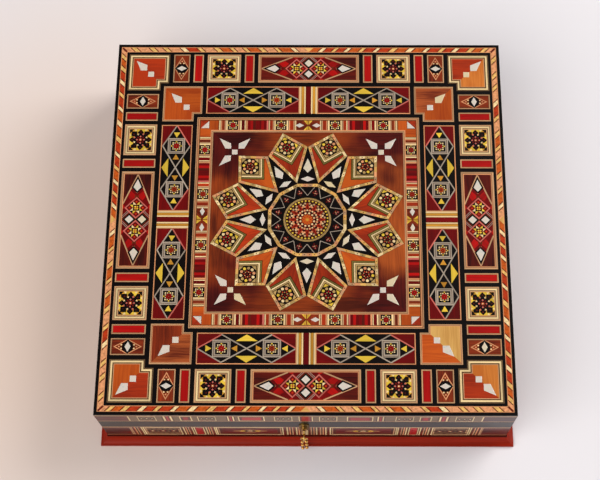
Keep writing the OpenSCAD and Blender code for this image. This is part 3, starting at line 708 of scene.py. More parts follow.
def border_pearls():
    return [rhomb(way * 6.1, -BORDER_OUT + BORDER_W * 0.53, 3.2, 1.7) for way in WAYS]


def border_corner_pearl(leg=5.6):
    low = BORDER_OUT - BORDER_W * 0.72
    high = low + leg
    return [(low, -low), (high, -low), (low, -high)]


def field_pearls():
    """Square and three kites in the corner of the field at the back right."""
    centre = (FIELD_PEARL_X, FIELD_PEARL_X)
    half, start, tip, wide_at, half_w = (share * FIELD_REACH for share in (0.085, 0.17, 0.52, 0.134, 0.125))
    dart = moved(kite(tip, wide_at, half_w, 0), start, 0)
    return [moved(block(-half, -half, half, half), *centre)] + [moved(dart, *centre, turn) for turn in (-45, 45, 135)]


def gap_pearls(turn):
    """Dart and flat rhombus in a black triangle between two petals."""
    dart = moved(kite(0.68 * GAP_H, 0.415 * GAP_H, 0.42 * GAP_HALF, 0.29 * GAP_H), RING_R, 0)
    foot = rhomb(RING_R + 0.126 * GAP_H, 0, 0.069 * GAP_H, 0.676 * GAP_HALF)
    return [moved(shape, 0, 0, turn) for shape in (dart, foot)]


def band_block(left, width):
    """Outline of a tile of the outer band."""
    return block(left, -OUTER_OUT, left + width, -OUTER_OUT + OUTER_W)


def upright(a, b, low, high):
    """Block between two places across, given in either order."""
    return block(min(a, b), low, max(a, b), high)


def mitred(out, width):
    """A strip along the front side of a square, mitred at its ends."""
    near = out - width
    return [(-out, -out), (out, -out), (near, -near), (-near, -near)]


def rosette_square(sheet, x, y, half, heart):
    """Small mosaic square: black ground, eight pale seeds round a red flower with a pale eye."""
    put = sheet.stamp(x, y, half)
    put(block(-1, -1, 1, 1), "ebony")
    for place in range(8):
        angle = 45 * place
        put(rhomb(*polar(0.86, angle), 0.16, 0.18, angle), "cream" if place % 2 else "lemon")
        put(rhomb(*polar(0.66, angle + 22.5), 0.16, 0.13, angle + 22.5), "cream")
    put(burst(8, 0.6, 0.4), heart)
    put(burst(8, 0.4, 0.26, 22.5), "crimson")
    put(ring_of(6, 0.15), "ember")


def star_ground(sheet, x, y, half):
    """Mosaic square of the star tiles: black lobes, yellow flanks, cream seeds and a red heart."""
    put = sheet.stamp(x, y, half)
    put(block(-1, -1, 1, 1), "honey")
    for turn in range(0, 360, 90):
        for way in WAYS:
            put([(1, 0.04 * way), (1, 0.66 * way), (0.58, 0.36 * way)], "lemon", turn)
            put([(1, 0.34 * way), (1, 0.58 * way), (0.8, 0.42 * way)], "cream", turn)
        put([(1, 0.56), (1, 1), (0.56, 1)], "ebony", turn)
        put([(0.99, 0), (0.72, 0.27), (0.3, 0.06), (0.3, -0.06), (0.72, -0.27)], "ebony", turn)
        put(block(0.3, 0.3, 0.8, 0.8), "ebony", turn)
    put(burst(8, 0.62, 0.5, 22.5), "ebony")
    for turn in range(0, 360, 90):
        put([(0.5, 0.5), (0.57, 0.42), (0.66, 0.5), (0.57, 0.58)], "maroon", turn)
        put([(0.66, 0), (0.74, 0.07), (0.82, 0), (0.74, -0.07)], "maroon", turn)
    for place in range(8):
        put([(0.46, 0), (0.6, 0.1), (0.6, -0.1)], "cream" if place % 3 else "pink", 22.5 + 45 * place)
    for place in range(8):
        put([(0.22, 0), (0.3, 0.09), (0.4, 0), (0.3, -0.09)], "crimson" if place % 2 else "pink", 45 * place)
    put(burst(8, 0.2, 0.12), "ember")
    put(ring_of(4, 0.08), "cream")


def micro_square(sheet, x, y, half_diagonal):
    """Square on its corner, three cells by three: red corners, yellow and black sides, a checked heart."""
    cell = half_diagonal * math.sqrt(2) * 0.83 / 3
    sheet.rims(rhomb(x, y, half_diagonal, half_diagonal), ((0.85, "pink"), (0.2, "ebony")))
    for column in (-1, 0, 1):
        for row in (-1, 0, 1):
            put = sheet.stamp(*moved([(column * cell, row * cell)], x, y, 45)[0], cell, 45)
            put(block(-0.5, -0.5, 0.5, 0.5), "crimson")
            if column and row:
                put(ring_of(4, 0.32, 45), "scarlet")
                put(ring_of(4, 0.16), "orange")
            elif column or row:
                put(block(-0.5, -0.5, 0.5, 0.5), "ebony")
                for turn, name in ((90, "lemon"), (-90, "cream")):
                    put([(0.02, 0), (0.5, -0.5), (0.5, 0.5)], name, heading((0, 0), (column, row)) + turn)
            else:
                for i in (-1, 0, 1):
                    for j in (-1, 0, 1):
                        name = "scarlet" if i == j == 0 else "lemon" if (i + j) % 2 else "crimson"
                        put(block(i / 3 - 1 / 6, j / 3 - 1 / 6, i / 3 + 1 / 6, j / 3 + 1 / 6), name)


# ---- operators of the carcass and the veneers ----


def coat(nodes, material):
    """Gives frame nodes that keep their shape one material."""
    for name in nodes.split():
        mesh = NODES[name].data
        mesh.materials.clear()
        mesh.materials.append(material)


class BOX_OT_carcass(Operator):
    """Boards, walls and rails that the veneers are glued to"""
    bl_idname = "inlaid_box.carcass"
    bl_label = "Carcass"

    def execute(self, context):
        coat("base_board lid_board", plain_wood("pine board", "pine", share=0.7, gloss=0.1))
        coat("wall_front wall_back lid_rail_front lid_rail_back", plain_wood("walnut along x", "walnut", gloss=0.4))
        coat("wall_left wall_right lid_rail_left lid_rail_right",
             plain_wood("walnut along y", "walnut", (0.85, 0.035, 0.85), gloss=0.4))
        return {"FINISHED"}


class BOX_OT_plinth(Operator):
    """Mahogany plinth moulding, four mitred lengths, with painted shade along their top"""
    bl_idname = "inlaid_box.plinth"
    bl_label = "Plinth"

    def execute(self, context):
        # Black band along the top of the plinth, just below the body's mosaics: painted shade where the body meets it
        top = BODY_LOW * MM - finish().black_line
        for nodes, axis, along in (("plinth_front plinth_back", "x", (0.02, 0.5, 0.5)),
                                   ("plinth_left plinth_right", "y", (0.5, 0.02, 0.5))):
            coat(nodes, plain_wood("mahogany along " + axis, "mahogany", along, gloss=0.14, painted_shade_above=top))
        return {"FINISHED"}


class BOX_OT_black_veneers(Operator):
    """Black ground of the lid, black triangles between the petals and black edging of the rim"""
    bl_idname = "inlaid_box.black_veneers"
    bl_label = "Black Veneers"

    def execute(self, context):
        coat("ground_veneer gap_triangles rim_edging", plain_wood("ebony", "ebony", (0.05, 0.8, 0.8), share=0.3))
        return {"FINISHED"}


# Woods of the rope stringing: where each starts on the colour ramp, and the value of a block that shows it
ROPE_WOODS = {"maroon": (0.0, 0.0), "ember": (0.05, 0.1), "orange": (0.2, 0.3), "peach": (0.4, 0.5),
              "cream": (0.6, 0.7), "straw": (0.8, 0.9)}
# Shortest and longest block, in mm, and the woods to choose from, for the wide red blocks and the pale ones in turn
ROPE_BLOCKS = ((5.5, 9.5, ("orange", "orange", "peach", "peach", "ember")), (3.2, 4.8, ("cream", "straw", "straw")))


class BOX_OT_rope_stringing(Operator):
    """Rope stringing: slanting blocks of pale, orange and red woods round the lid"""
    bl_idname = "inlaid_box.rope_stringing"
    bl_label = "Rope Stringing"

    def execute(self, context):
        slash, edge = finish().slash / MM, finish().rope_edge / MM
        rail, stub = ROPE_OUT - ROPE_W / 2, 2.0
        chance = random.Random(finish().seed)
        blocks = []
        for way in WAYS:
            x, place = ROPE_W / 2 - edge, 0
            while x < rail - 0.01:
                shortest, longest, woods = ROPE_BLOCKS[place % 2]
                run = min(chance.uniform(shortest, longest), rail - x)
                if rail - x - run < stub:
                    run = rail - x
                dark = slash if run > 2 * slash else 0.0
                blocks.append((way * (x + (run - dark) / 2), run - dark, -way, chance.choice(woods)))
                if dark:
                    blocks.append((way * (x + run - dark / 2), dark, -way, "maroon"))
                x += run
                place += 1
        places, runs, leans, woods = zip(*blocks)
        values = {"run": [run * MM for run in runs], "lean": leans, "shade": [ROPE_WOODS[wood][1] for wood in woods]}
        rope = grow("rope_blocks", [(x * MM, -rail * MM, (TOP_Z - VENEER / 2) * MM) for x in places], values,
                    rope_tree(), {"Width": (ROPE_W - 2 * edge) * MM, "Thickness": VENEER * MM, "Rail": -rail * MM,
                                  "Material": rope_material()})
        edges = Slab("rope_edges")
        low, high = -ROPE_OUT + edge, -ROPE_OUT + ROPE_W - edge
        edges.lay_round(Sheet([(low - high, low), (high - low, low), (0, high)], "straw"))
        for start in (0, ROPE_W - edge):
            edges.lay_round(Sheet(mitred(ROPE_OUT - start, edge), "peach"))
        settle(rope, LID, ["rope_stringing"])
        edges.build(None, "stringing")
        return {"FINISHED"}


def rope_material():
    rope = Surface("rope woods")
    stops = [(start, tone_of(name)) for name, (start, _) in ROPE_WOODS.items()]
    shades = rope.ramp(rope.attribute("shade"), stops, "CONSTANT")
    value = rope.spread(rope.noise(rope.place(), 520.0, 3.0), 0.38, 0.66, 1.1, 0.66)
    rope.set({"Base Color": rope.add("ShaderNodeHueSaturation", {"Value": value, "Color": shades})})
    rope.lacquer()
    return rope.material


class Growth(Nodes):
    """A new geometry tree with a geometry input and the named inputs."""

    def __init__(self, name, **inputs):
        super().__init__(bpy.data.node_groups.new(name, "GeometryNodeTree"))
        add_sockets(self.tree, "INPUT", Geometry="Geometry", **inputs)
        add_sockets(self.tree, "OUTPUT", Geometry="Geometry")
        self.source = self.tree.nodes.new("NodeGroupInput").outputs

    def named(self, name, kind="FLOAT"):
        return self.add("GeometryNodeInputNamedAttribute", {"Name": name}, data_type=kind)

    def copies(self, points, pattern, **more):
        return self.add("GeometryNodeInstanceOnPoints", {"Points": points, "Instance": pattern, **more})

    def close(self, geometry):
        """Ends the tree with real geometry and its material."""
        real = self.add("GeometryNodeRealizeInstances", {"Geometry": geometry})
        coated = self.add("GeometryNodeSetMaterial", {"Geometry": real, "Material": self.source["Material"]})
        self.fill(self.tree.nodes.new("NodeGroupOutput"), {0: coated})
        return self.tree


def grow(name, spots, values, tree, inputs, edges=()):
    """Runs a geometry tree on points that carry values, and returns the result as a plain mesh object."""
    points = bpy.data.meshes.new(name)
    points.from_pydata(spots, edges, [])
    for label, numbers in values.items():
        vectors = isinstance(numbers[0], Vector)
        layer = points.attributes.new(label, "FLOAT_VECTOR" if vectors else "FLOAT", "POINT")
        layer.data.foreach_set("vector" if vectors else "value",
                               [part for vector in numbers for part in vector] if vectors else numbers)
    piece = linked(bpy.data.objects.new(name, points))
    modifier = piece.modifiers.new(tree.name, "NODES")
    modifier.node_group = tree
    for item in tree.interface.items_tree:
        if item.in_out == "INPUT" and item.name in inputs:
            modifier[item.identifier] = inputs[item.name]
    graph = bpy.context.evaluated_depsgraph_get()
    mesh = bpy.data.meshes.new_from_object(piece.evaluated_get(graph), preserve_all_data_layers=True, depsgraph=graph)
    piece.modifiers.remove(modifier)
    mesh.name = name
    piece.data = mesh
    if not mesh.polygons:
        raise RuntimeError(name + " came out empty")
    return piece


def rope_tree():
    rope = Growth("rope stringing", Width="Float", Thickness="Float", Rail="Float", Material="Material")
    bar = rope.add("GeometryNodeMeshCube", {"Size": (1, 1, 1)})
    size = rope.combine(X=rope.named("run"), Y=rope.source["Width"], Z=rope.source["Thickness"])
    bars = rope.add("GeometryNodeRealizeInstances",
                    {"Geometry": rope.copies(rope.source["Geometry"], bar, Scale=size)})
    across = rope.math("SUBTRACT", rope.separate(rope.add("GeometryNodeInputPosition"))["Y"], rope.source["Rail"])
    slant = rope.combine(X=rope.math("MULTIPLY", across, rope.named("lean")))
    leaning = rope.add("GeometryNodeSetPosition", {"Geometry": bars, "Offset": slant})
    sides = rope.add("GeometryNodeMeshLine", {"Count": 4, "Offset": (0, 0, 0)})
    turn = rope.math("MULTIPLY", rope.add("GeometryNodeInputIndex"), math.pi / 2)
    return rope.close(rope.copies(sides, leaning, Rotation=rope.combine(Z=turn)))


class BOX_OT_corner_tiles(Operator):
    """Corner tiles of both bands: mitred orange and red-brown veneers inside pale lines"""
    bl_idname = "inlaid_box.corner_tiles"
    bl_label = "Corner Tiles"

    def execute(self, context):
        for name, out, size, pearls, courses, halves in (
            ("outer_corner_", OUTER_OUT, CORNER_W, OUTER_PEARLS,
             ((0.6, "dusk"), (0.3, "ebony"), (1.25, "cream"), (0.75, "umber"), (0.5, "tan")),
             (("ember", "apricot"), ("apricot", "ember"), ("ember", "ember"), ("orange", "ember"))),
            ("inner_corner_", INNER_OUT, INNER_CORNER_W, INNER_PEARLS,
             ((0.75, "tan"), (0.25, "umber"), (0.4, "peach")),
             (("orange", "straw"), ("orange", "tiger"), ("orange", "orange"), ("russet", "tiger"))),
        ):
            near = out - size
            outline = [(near, -out), (out, -out), (out, -near), (near + NOTCH, -near),
                       (near + NOTCH, -near - NOTCH), (near, -near - NOTCH)]
            slab = Slab(name + "inlays")
            for corner, (lengthwise, crosswise) in enumerate(halves):
                sheet = Sheet(outline, lengthwise)
                sheet.lay([(near, -near), (out, -near), (out, -out)], crosswise, 90)
                sheet.line((near + NOTCH, -near - NOTCH), (out, -out), 0.12, "umber")
                sheet.rims(outline, courses)
                sheet.holes(corner_pearls(out, *pearls))
                slab.lay_round(sheet, sides=(corner,))
            slab.build(name + "tiles", "orange_wood")
        return {"FINISHED"}


class BOX_OT_diamond_tiles(Operator):
    """Narrow tiles with a peach-edged rhombus round a black eye"""
    bl_idname = "inlaid_box.diamond_tiles"
    bl_label = "Diamond Tiles"

    def execute(self, context):
        x, y = DIAMOND_X + DIAMOND_W / 2, -OUTER_MID
        outline = band_block(DIAMOND_X, DIAMOND_W)
        sheet = Sheet(outline, "russet", 90)
        sheet.lay(block(DIAMOND_X, -OUTER_OUT, DIAMOND_X + DIAMOND_W, y), "russet", 90)
        sheet.framed(rhomb(x, y, 5.3, 9.6), ((0.6, "peach"),), "russet", 90)
        for way in WAYS:
            for dx, dy, wood in ((-1.3, 4.3, "cream"), (1.3, 4.3, "cream"), (0, 5.9, "peach")):
                sheet.lay(ball(x + dx, y + way * dy, 0.6), wood)
            sheet.lay(rhomb(x, y + way * 4.4, 0.6, 0.75), "umber")
        sheet.stamp(x, y)([(-5, 0), (-2.6, 3.3), (0, 3.9), (2.6, 3.3), (5, 0), (2.6, -3.3), (0, -3.9), (-2.6, -3.3)],
                          "ebony")
        sheet.rims(outline, ((0.75, "tan"), (0.25, "umber")))
        sheet.holes([diamond_pearl()])
        Slab("diamond_inlays").lay_round(sheet, mirrored=True).build("diamond_tiles", "orange_wood")
        return {"FINISHED"}


class BOX_OT_red_bars(Operator):
    """Bright red bars inside pale lines"""
    bl_idname = "inlaid_box.red_bars"
    bl_label = "Red Bars"

    def execute(self, context):
        slab = Slab("red_bar_inlays")
        for left in (BAR_FAR_X, BAR_NEAR_X):
            outline = band_block(left, BAR_W)
            sheet = Sheet(outline, "scarlet", 90)
            sheet.rims(outline, ((0.85, "tan"), (0.18, "umber")))
            slab.lay_round(sheet, mirrored=True)
        slab.build("red_bars", "red_wood")
        return {"FINISHED"}


class BOX_OT_star_tiles(Operator):
    """Square tiles with an eight-lobed black star on yellow ground"""
    bl_idname = "inlaid_box.star_tiles"
    bl_label = "Star Tiles"

    def execute(self, context):
        outline = band_block(STAR_X, STAR_W)
        sheet = Sheet(outline, "honey")
        star_ground(sheet, STAR_X + STAR_W / 2, -OUTER_MID, 8.3)
        sheet.rims(outline, ((1.0, "tan"), (0.3, "umber"), (1.15, "cream"), (0.45, "umber"), (0.75, "tan")))
        Slab("star_inlays").lay_round(sheet, mirrored=True).build("star_tiles", "khatam")
        return {"FINISHED"}


class BOX_OT_long_panels(Operator):
    """Long panels: two mosaic squares and pearls inside slanting pale lines"""
    bl_idname = "inlaid_box.long_panels"
    bl_label = "Long Panels"

    def execute(self, context):
        y = -OUTER_MID
        outline = band_block(-LONG_X, 2 * LONG_X)
        sheet = Sheet(outline, "maroon")

        def put(wood, *points, grain=0.0):
            for way in WAYS:
                sheet.lay([(way * px, y + py) for px, py in points], wood, grain * way)

        put("crimson", (34.2, 0), (11.9, 9.6), (0, 9.6), (0, -9.6), (11.9, -9.6))
        for up in WAYS:
            put("crimson", (0, up * 9.4), (5.4, up * 9.4), (1.9, up * 5.9))
            put("scarlet", (7.5, up * 9.4), (11.6, up * 9.4), (9.4, up * 8))
            put("scarlet", (16.9, up * 1.2), (18.6, up * 1.0), (21.8, up * 4.4), (17.4, up * 6.2), (14.4, up * 4.2),
                grain=40 * up)
            put("umber", (17.6, 0), (16.4, up * 1.6), (17.6, up * 1.1), (18.8, up * 1.6))
        for way in WAYS:
            for up in WAYS:
                for start, end, width, wood in (
                    ((34.3, 0), (11.9, 9.5), 0.95, "tan"), ((25.5, 4.1), (20.2, -0.5), 0.7, "peach"),
                    ((1.2, 9.5), (6.2, 4.6), 0.35, "ash"), ((2.6, 9.5), (6.9, 5.3), 0.3, "ash"),
                ):
                    sheet.line((way * start[0], y + up * start[1]), (way * end[0], y + up * end[1]), width, wood)
            micro_square(sheet, way * 8.8, y, 8.3)
            sheet.lay(inset(long_pearls()[way > 0], -1.15), "ebony")
        for up in WAYS:
            eye = rhomb(0, y + up * EYE_ROW, 4.75, 4.75)
            sheet.lay(eye, "ebony")
            sheet.rims(eye, ((0.22, "umber"),))
        sheet.rims(outline, ((1.15, "tan"), (0.25, "umber"), (0.65, "peach")))
        sheet.holes(long_pearls())
        Slab("long_panel_inlays").lay_round(sheet).build("long_panels", "red_wood")
        return {"FINISHED"}


class BOX_OT_inner_panels(Operator):
    """Panels of the inner band with crossed grey lines"""
    bl_idname = "inlaid_box.inner_panels"
    bl_label = "Inner Panels"

    def execute(self, context):
        x, y = (PANEL_FAR_X + PANEL_NEAR_X) / 2, -INNER_MID
        peak_x, line_w, wedge_x, wedge_l, wedge_half, square = 17, 0.85, 10.7, 4.1, 2.3, 6.1
        outline = block(PANEL_NEAR_X, -INNER_OUT, PANEL_FAR_X, -INNER_OUT + INNER_W)
        sheet = Sheet(outline, "ebony")
        for way in WAYS:
            centre = x + way * peak_x
            for up in WAYS:
                far, top = x + way * 33, y + up * 10.4
                sheet.lay([(far, top), (centre, top), (far, y + up * 0.4)], "crimson")
                sheet.lay([(x + way * 33.5, y), (x + way * 33.5, top), (centre, y + up * 9.9)], "crimson")
                peak = (centre, y + up * 9.8)
                sheet.line((x + way * 33.3, y), peak, line_w, "pink" if up > 0 else "ash")
                sheet.line(peak, (x - way * 1.2, y - up * 0.72), line_w, "ash")
            for side in WAYS:
                base = centre + side * wedge_x
                sheet.lay([(base, y - wedge_half), (base, y + wedge_half), (base - side * wedge_l, y)],
                          "lemon" if way * side > 0 else "honey", 90)
            left = sheet.rims(block(centre - square, y - square, centre + square, y + square),
                              ((0.75, "ash"), (0.35, "umber"), (0.9, "ash"), (0.2, "ebony")))
            rosette_square(sheet, centre, y, left[1][0] - centre, "scarlet" if way > 0 else "orange")
        for up in WAYS:
            sheet.lay([(x, y + up * 9.9), (x - 7.4, y + up * 5.2), (x + 7.4, y + up * 5.2)], "lemon")
        sheet.rims(outline, ((0.65, "peach"), (0.15, "umber")))
        Slab("inner_panel_inlays").lay_round(sheet, mirrored=True).build("inner_panels", "red_wood")
        return {"FINISHED"}


class BOX_OT_dividers(Operator):
    """Striped dividers between the panels of the inner band"""
    bl_idname = "inlaid_box.dividers"
    bl_label = "Dividers"

    def execute(self, context):
        half = DIVIDER_W / 2
        low, high = -INNER_OUT, -INNER_OUT + INNER_W
        sheet = Sheet(block(-half, low, half, high), "crimson", 90)
        start = -half
        for width, name in ((1.2, "cream"), (0.2, "umber"), (1.7, "honey"), (0.2, "umber"), (1.0, "cream")):
            for way in WAYS:
                sheet.lay(upright(way * start, way * (start + width), low, high), name, 90)
            start += width
        Slab("divider_inlays").lay_round(sheet).build("dividers", "red_wood")
        return {"FINISHED"}


# Half of one side of the narrow border, from the middle to the mitre: where each wood ends, and its name
BORDER_RUN = (
    (8.6, "russet"), (9.3, "cream"), (9.7, "umber"), (10.5, "tan"), (13.1, "ember"), (13.9, "peach"),
    (14.3, "umber"), (15.4, "cream"), (23.3, "square ember"), (24.3, "cream"), (24.6, "umber"), (25.4, "tan"),
    (27.5, "ember"), (28.3, "cream"), (28.6, "umber"), (29.8, "pink"), (43.5, "red block"), (44.7, "peach"),
    (45.0, "umber"), (45.6, "cream"), (47.9, "crimson"), (48.9, "cream"), (49.3, "umber"), (50.3, "tan"),
    (57.8, "square scarlet"), (58.9, "cream"), (60.0, "tan"), (62.0, "russet"), (62.7, "peach"), (63.0, "umber"),
    (64.0, "cream"), (64.4, "umber"), (80.0, "orange"),
)


class BOX_OT_mosaic_border(Operator):
    """Narrow border round the field: stripes, mosaic squares and pearls between pale lines"""
    bl_idname = "inlaid_box.mosaic_border"
    bl_label = "Mosaic Border"

    def execute(self, context):
        sheet = Sheet(mitred(BORDER_OUT, BORDER_W), "orange", 90)
        outer_w, inner_w = 2.4, 1.8
        low, high = -BORDER_OUT + outer_w, -FIELD - inner_w
        middle = (low + high) / 2
        for way in WAYS:
            start = 0.0
            for end, name in BORDER_RUN:
                half = (end - start) / 2
                if name.startswith("square"):
                    rosette_square(sheet, way * (start + end) / 2, middle, half - 0.1, name.split()[1])
                    sheet.lay(upright(way * start, way * end, middle + half - 0.12, high), "ebony")
                    sheet.lay(upright(way * start, way * end, low, middle - half + 0.12), "ebony")
                elif name == "red block":
                    stripes(sheet, (way,), start, end, low, high,
                            ("crimson", "scarlet", "crimson", "crimson", "maroon", "scarlet", "crimson"))
                else:
                    sheet.lay(upright(way * start, way * end, low, high), name, 90)
                start = end
            sheet.lay([(0, middle), (way * 2.9, low), (way * 5.6, low), (way * 1.0, middle)], "russet", 90)
            for up in WAYS:
                for near, far, foot, back, wood in ((0.35, 3.2, 0.5, 0.35, "lemon"), (0.9, 1.7, 0.9, 0.6, "honey")):
                    sheet.lay([(way * near, middle + up * foot), (way * far, middle + up * 3.8),
                               (way * back, middle + up * 3.8)], wood)
        for way in WAYS:
            sheet.lay([(way * 64.4, low), (way * 71, low), (way * 71, high), (way * 64.4, high)], "orange", 90)
            sheet.lay([(way * 71.3, high), (way * 78, high), (way * 78, low), (way * 71.3, low)], "ember", 45)
            sheet.line((way * 71.2, low), (way * 71.2, high), 0.35, "umber")
        for out, courses in ((BORDER_OUT, ((0.6, "tan"), (0.4, "umber"), (0.85, "peach"), (0.55, "umber"))),
                             (FIELD + inner_w, ((0.75, "peach"), (0.25, "umber"), (0.8, "tan")))):
            for width, wood in courses:
                sheet.lay(mitred(out, width), wood)
                out -= width
        corner = border_corner_pearl()
        sheet.holes(border_pearls() + [corner, [(-px, py) for px, py in corner]])
        Slab("mosaic_border_inlays").lay_round(sheet).build("mosaic_border", "khatam")
        return {"FINISHED"}


def stripes(sheet, ways, start, end, low, high, names, count=None):
    """Upright stripes of equal width between two places, on one half of a side or on both."""
    count = count or len(names)
    width = (end - start) / count
    for place in range(count):
        for way in ways:
            sheet.lay(upright(way * (start + place * width), way * (start + (place + 1) * width), low, high),
                      names[place % len(names)], 90)


class BOX_OT_field(Operator):
    """Four mitred quarter veneers behind the star"""
    bl_idname = "inlaid_box.field"
    bl_label = "Field"

    def execute(self, context):
        sheet = Sheet(block(-FIELD, -FIELD, FIELD, FIELD), "burr")
        for side in range(4):
            sheet.lay(moved([(0, 0), (FIELD, -FIELD), (-FIELD, -FIELD)], 0, 0, 90 * side),
                      "burr_right" if side == 1 else "burr", 90 * (side % 2))
        sheet.holes([[polar(TIP_R if place % 2 else SHOULDER_R, place * STEP / 2) for place in range(2 * PETALS)]])
        sheet.holes(moved(pearl, 0, 0, 90 * side) for side in range(4) for pearl in field_pearls())
        Slab("field_inlays").lay_round(sheet, sides=(0,)).build("field_veneers", "red_wood")
        for name in ("burr", "burr_right"):
            heart_to_corners(inlay_wood(name))
        return {"FINISHED"}


def heart_to_corners(material):
    """Let a veneer darken towards the corners of the field, where the heart of the tree lies."""
    nodes = Nodes(material.node_tree)
    grain = next(node for node in nodes.tree.nodes if node.type == "GROUP")
    place = nodes.place()
    spot = nodes.separate(nodes.vector("ABSOLUTE", place))
    near_corner = nodes.math("MINIMUM", spot["X"], spot["Y"])
    uneven = nodes.math("MULTIPLY_ADD", nodes.noise(place, 38.0, 2.0), 0.055, near_corner)
    share = nodes.spread(uneven, 0.05, 0.078, interpolation_type="SMOOTHSTEP")
    for label, deep in (("Light", stain(92, 20, 14)), ("Dark", stain(34, 6, 6))):
        nodes.fill(grain, {label: nodes.mix(share, tuple(grain.inputs[label].default_value), opaque(deep))})


class BOX_OT_petals(Operator):
    """Twelve petals: a mosaic square at the tip, pale chevrons and orange-red wood in a dotted frame"""
    bl_idname = "inlaid_box.petals"
    bl_label = "Petals"

    def execute(self, context):
        slab = Slab("petal_inlays")
        tip, shoulder = Vector((TIP_R, 0)), Vector(polar(SHOULDER_R, STEP / 2))
        outline = anticlockwise([(TIP_R, 0), tuple(shoulder), (RING_VERTEX_R, 0), (shoulder.x, -shoulder.y)])
        inner = inset(outline, 2.3)
        first = (shoulder - tip).normalized()
        second = Vector((first.x, -first.y))
        root = Vector(max(inner[0], inner[2]))

        def cell(a, b):
            return tuple(root + first * a + second * b)

        for kind in range(3):
            sheet = Sheet(outline, "orange" if kind == 1 else "ember")
            for size, name in ((16.2, "ebony"), (15.8, "olive"), (14.8, "ebony"), (14.45, "cream"), (13.5, "ebony"),
                               (13.15, "khaki"), (12.5, "ebony")):
                sheet.lay([cell(0, 0), cell(size, 0), cell(size, size), cell(0, size)], name, 45)
            petal_mosaic(sheet, cell, 12.2, kind)
            for place, ((a, b), (c, d)) in enumerate(zip(ring_pairs(outline), ring_pairs(inner))):
                sheet.dotted(a, b, c, d, round(math.dist(a, b) / 4.2), kind * 10 + place)
            sheet.rim(outline, 0.0, 0.2, "ebony")
            sheet.rim(outline, 2.02, 0.28, "maroon")
            slab.lay(sheet, [on_lid((petal + 0.5) * STEP) for petal in range(kind, PETALS, 3)])
        slab.build("petal_tiles", "orange_wood")
        return {"FINISHED"}


def petal_mosaic(sheet, cell, size, kind):
    """Mosaic square of a petal: pale corners, and a ring of ten dots round a red flower."""
    middle = size / 2

    def spot(radius, degrees):
        a, b = polar(radius, degrees)
        return cell(middle + a, middle + b)

    def put(radius, degrees, long_half, wide_half, name):
        tangent = math.degrees(1) * wide_half / radius
        sheet.lay([spot(radius + long_half, degrees), spot(radius, degrees + tangent),
                   spot(radius - long_half, degrees), spot(radius, degrees - tangent)], name)

    sheet.lay([cell(0, 0), cell(size, 0), cell(size, size), cell(0, size)], "ebony", 45)
    for way_a, way_b in ((1, 1), (-1, 1), (-1, -1), (1, -1)):
        a, b = (middle - way * (middle - 0.25) for way in (way_a, way_b))
        sheet.lay([cell(a, b), cell(a + 2.9 * way_a, b), cell(a, b + 2.9 * way_b)], "khaki" if kind else "lemon")
    for place in range(10):
        angle = 36 * place + 9
        sheet.lay(ball(*spot(4.55, angle), 1.12, angle), ("cream", "peach", "lemon", "khaki")[(place * 3 + kind) % 4])
        put(3.1, angle + 18, 0.5, 0.55, "maroon" if kind else "crimson")
    for place in range(5):
        angle = 72 * place + 27
        put(2.3, angle, 0.85, 0.62, "ember" if kind else "scarlet")
        put(1.9, angle + 36, 0.6, 0.45, "peach" if kind == 1 else "khaki")
    sheet.lay([spot(0.7, 45 * place) for place in range(8)], "crimson")


class BOX_OT_dotted_ring(Operator):
    """Ring of dotted stringing inside the petals"""
    bl_idname = "inlaid_box.dotted_ring"
    bl_label = "Dotted Ring"

    def execute(self, context):
        outer = ring_of(PETALS, RING_VERTEX_R, STEP / 2)
        inner = ring_of(PETALS, RING_INNER_VERTEX_R, STEP / 2)
        sheet = Sheet(outer, "peach")
        for place, ((a, b), (c, d)) in enumerate(zip(ring_pairs(outer), ring_pairs(inner))):
            sheet.dotted(a, b, c, d, 4, 100 + place)
        sheet.rim(outer, 0.0, 0.25, "umber")
        sheet.rim(outer, RING_W - 0.25, 0.25, "umber")
        sheet.holes([inner])
        Slab("ring_inlays").lay_round(sheet, sides=(0,)).build("ring_stringing", "stringing")
        return {"FINISHED"}


class BOX_OT_zigzag_ring(Operator):
    """Black ring with zigzag lines round the rosette"""
    bl_idname = "inlaid_box.zigzag_ring"
    bl_label = "Zigzag Ring"

    def execute(self, context):
        sheet = Sheet(ring_of(PETALS, RING_INNER_VERTEX_R, STEP / 2), "ebony")
        for place in range(PETALS):
            middle = STEP * (place + 0.5)
            sheet.lay(rhomb(*polar(20.9, middle), 2.7, 2.6, middle), "maroon", middle)
        for place in range(PETALS):
            turn, middle = STEP * place, STEP * (place + 0.5)
            ends = [polar(RING_INNER_VERTEX_R - 0.2, turn + way * 11.8) for way in WAYS]
            sheet.lay([polar(ROSETTE_R + 2.0, turn), ends[0], polar(RING_R, turn), ends[1]], "ebony")
            for end in ends:
                sheet.line(polar(ROSETTE_R + 1.85, turn), end, 0.42, "ash")
            sheet.seed(20.7, middle, 2.4, 2.3, "ebony")
            for radius, aside, name in ((20.7, -2.9, "pink"), (20.7, 2.9, "ember"), (22.2, 0, "pink"),
                                        (20.7, 0, "tan"), (19.2, 0, "crimson")):
                sheet.seed(radius, middle, 0.62, 0.56, name, aside)
        sheet.holes([ring_of(96, ROSETTE_R)])
        Slab("zigzag_inlays").lay_round(sheet, sides=(0,)).build("zigzag_ring", "ebony")
        return {"FINISHED"}


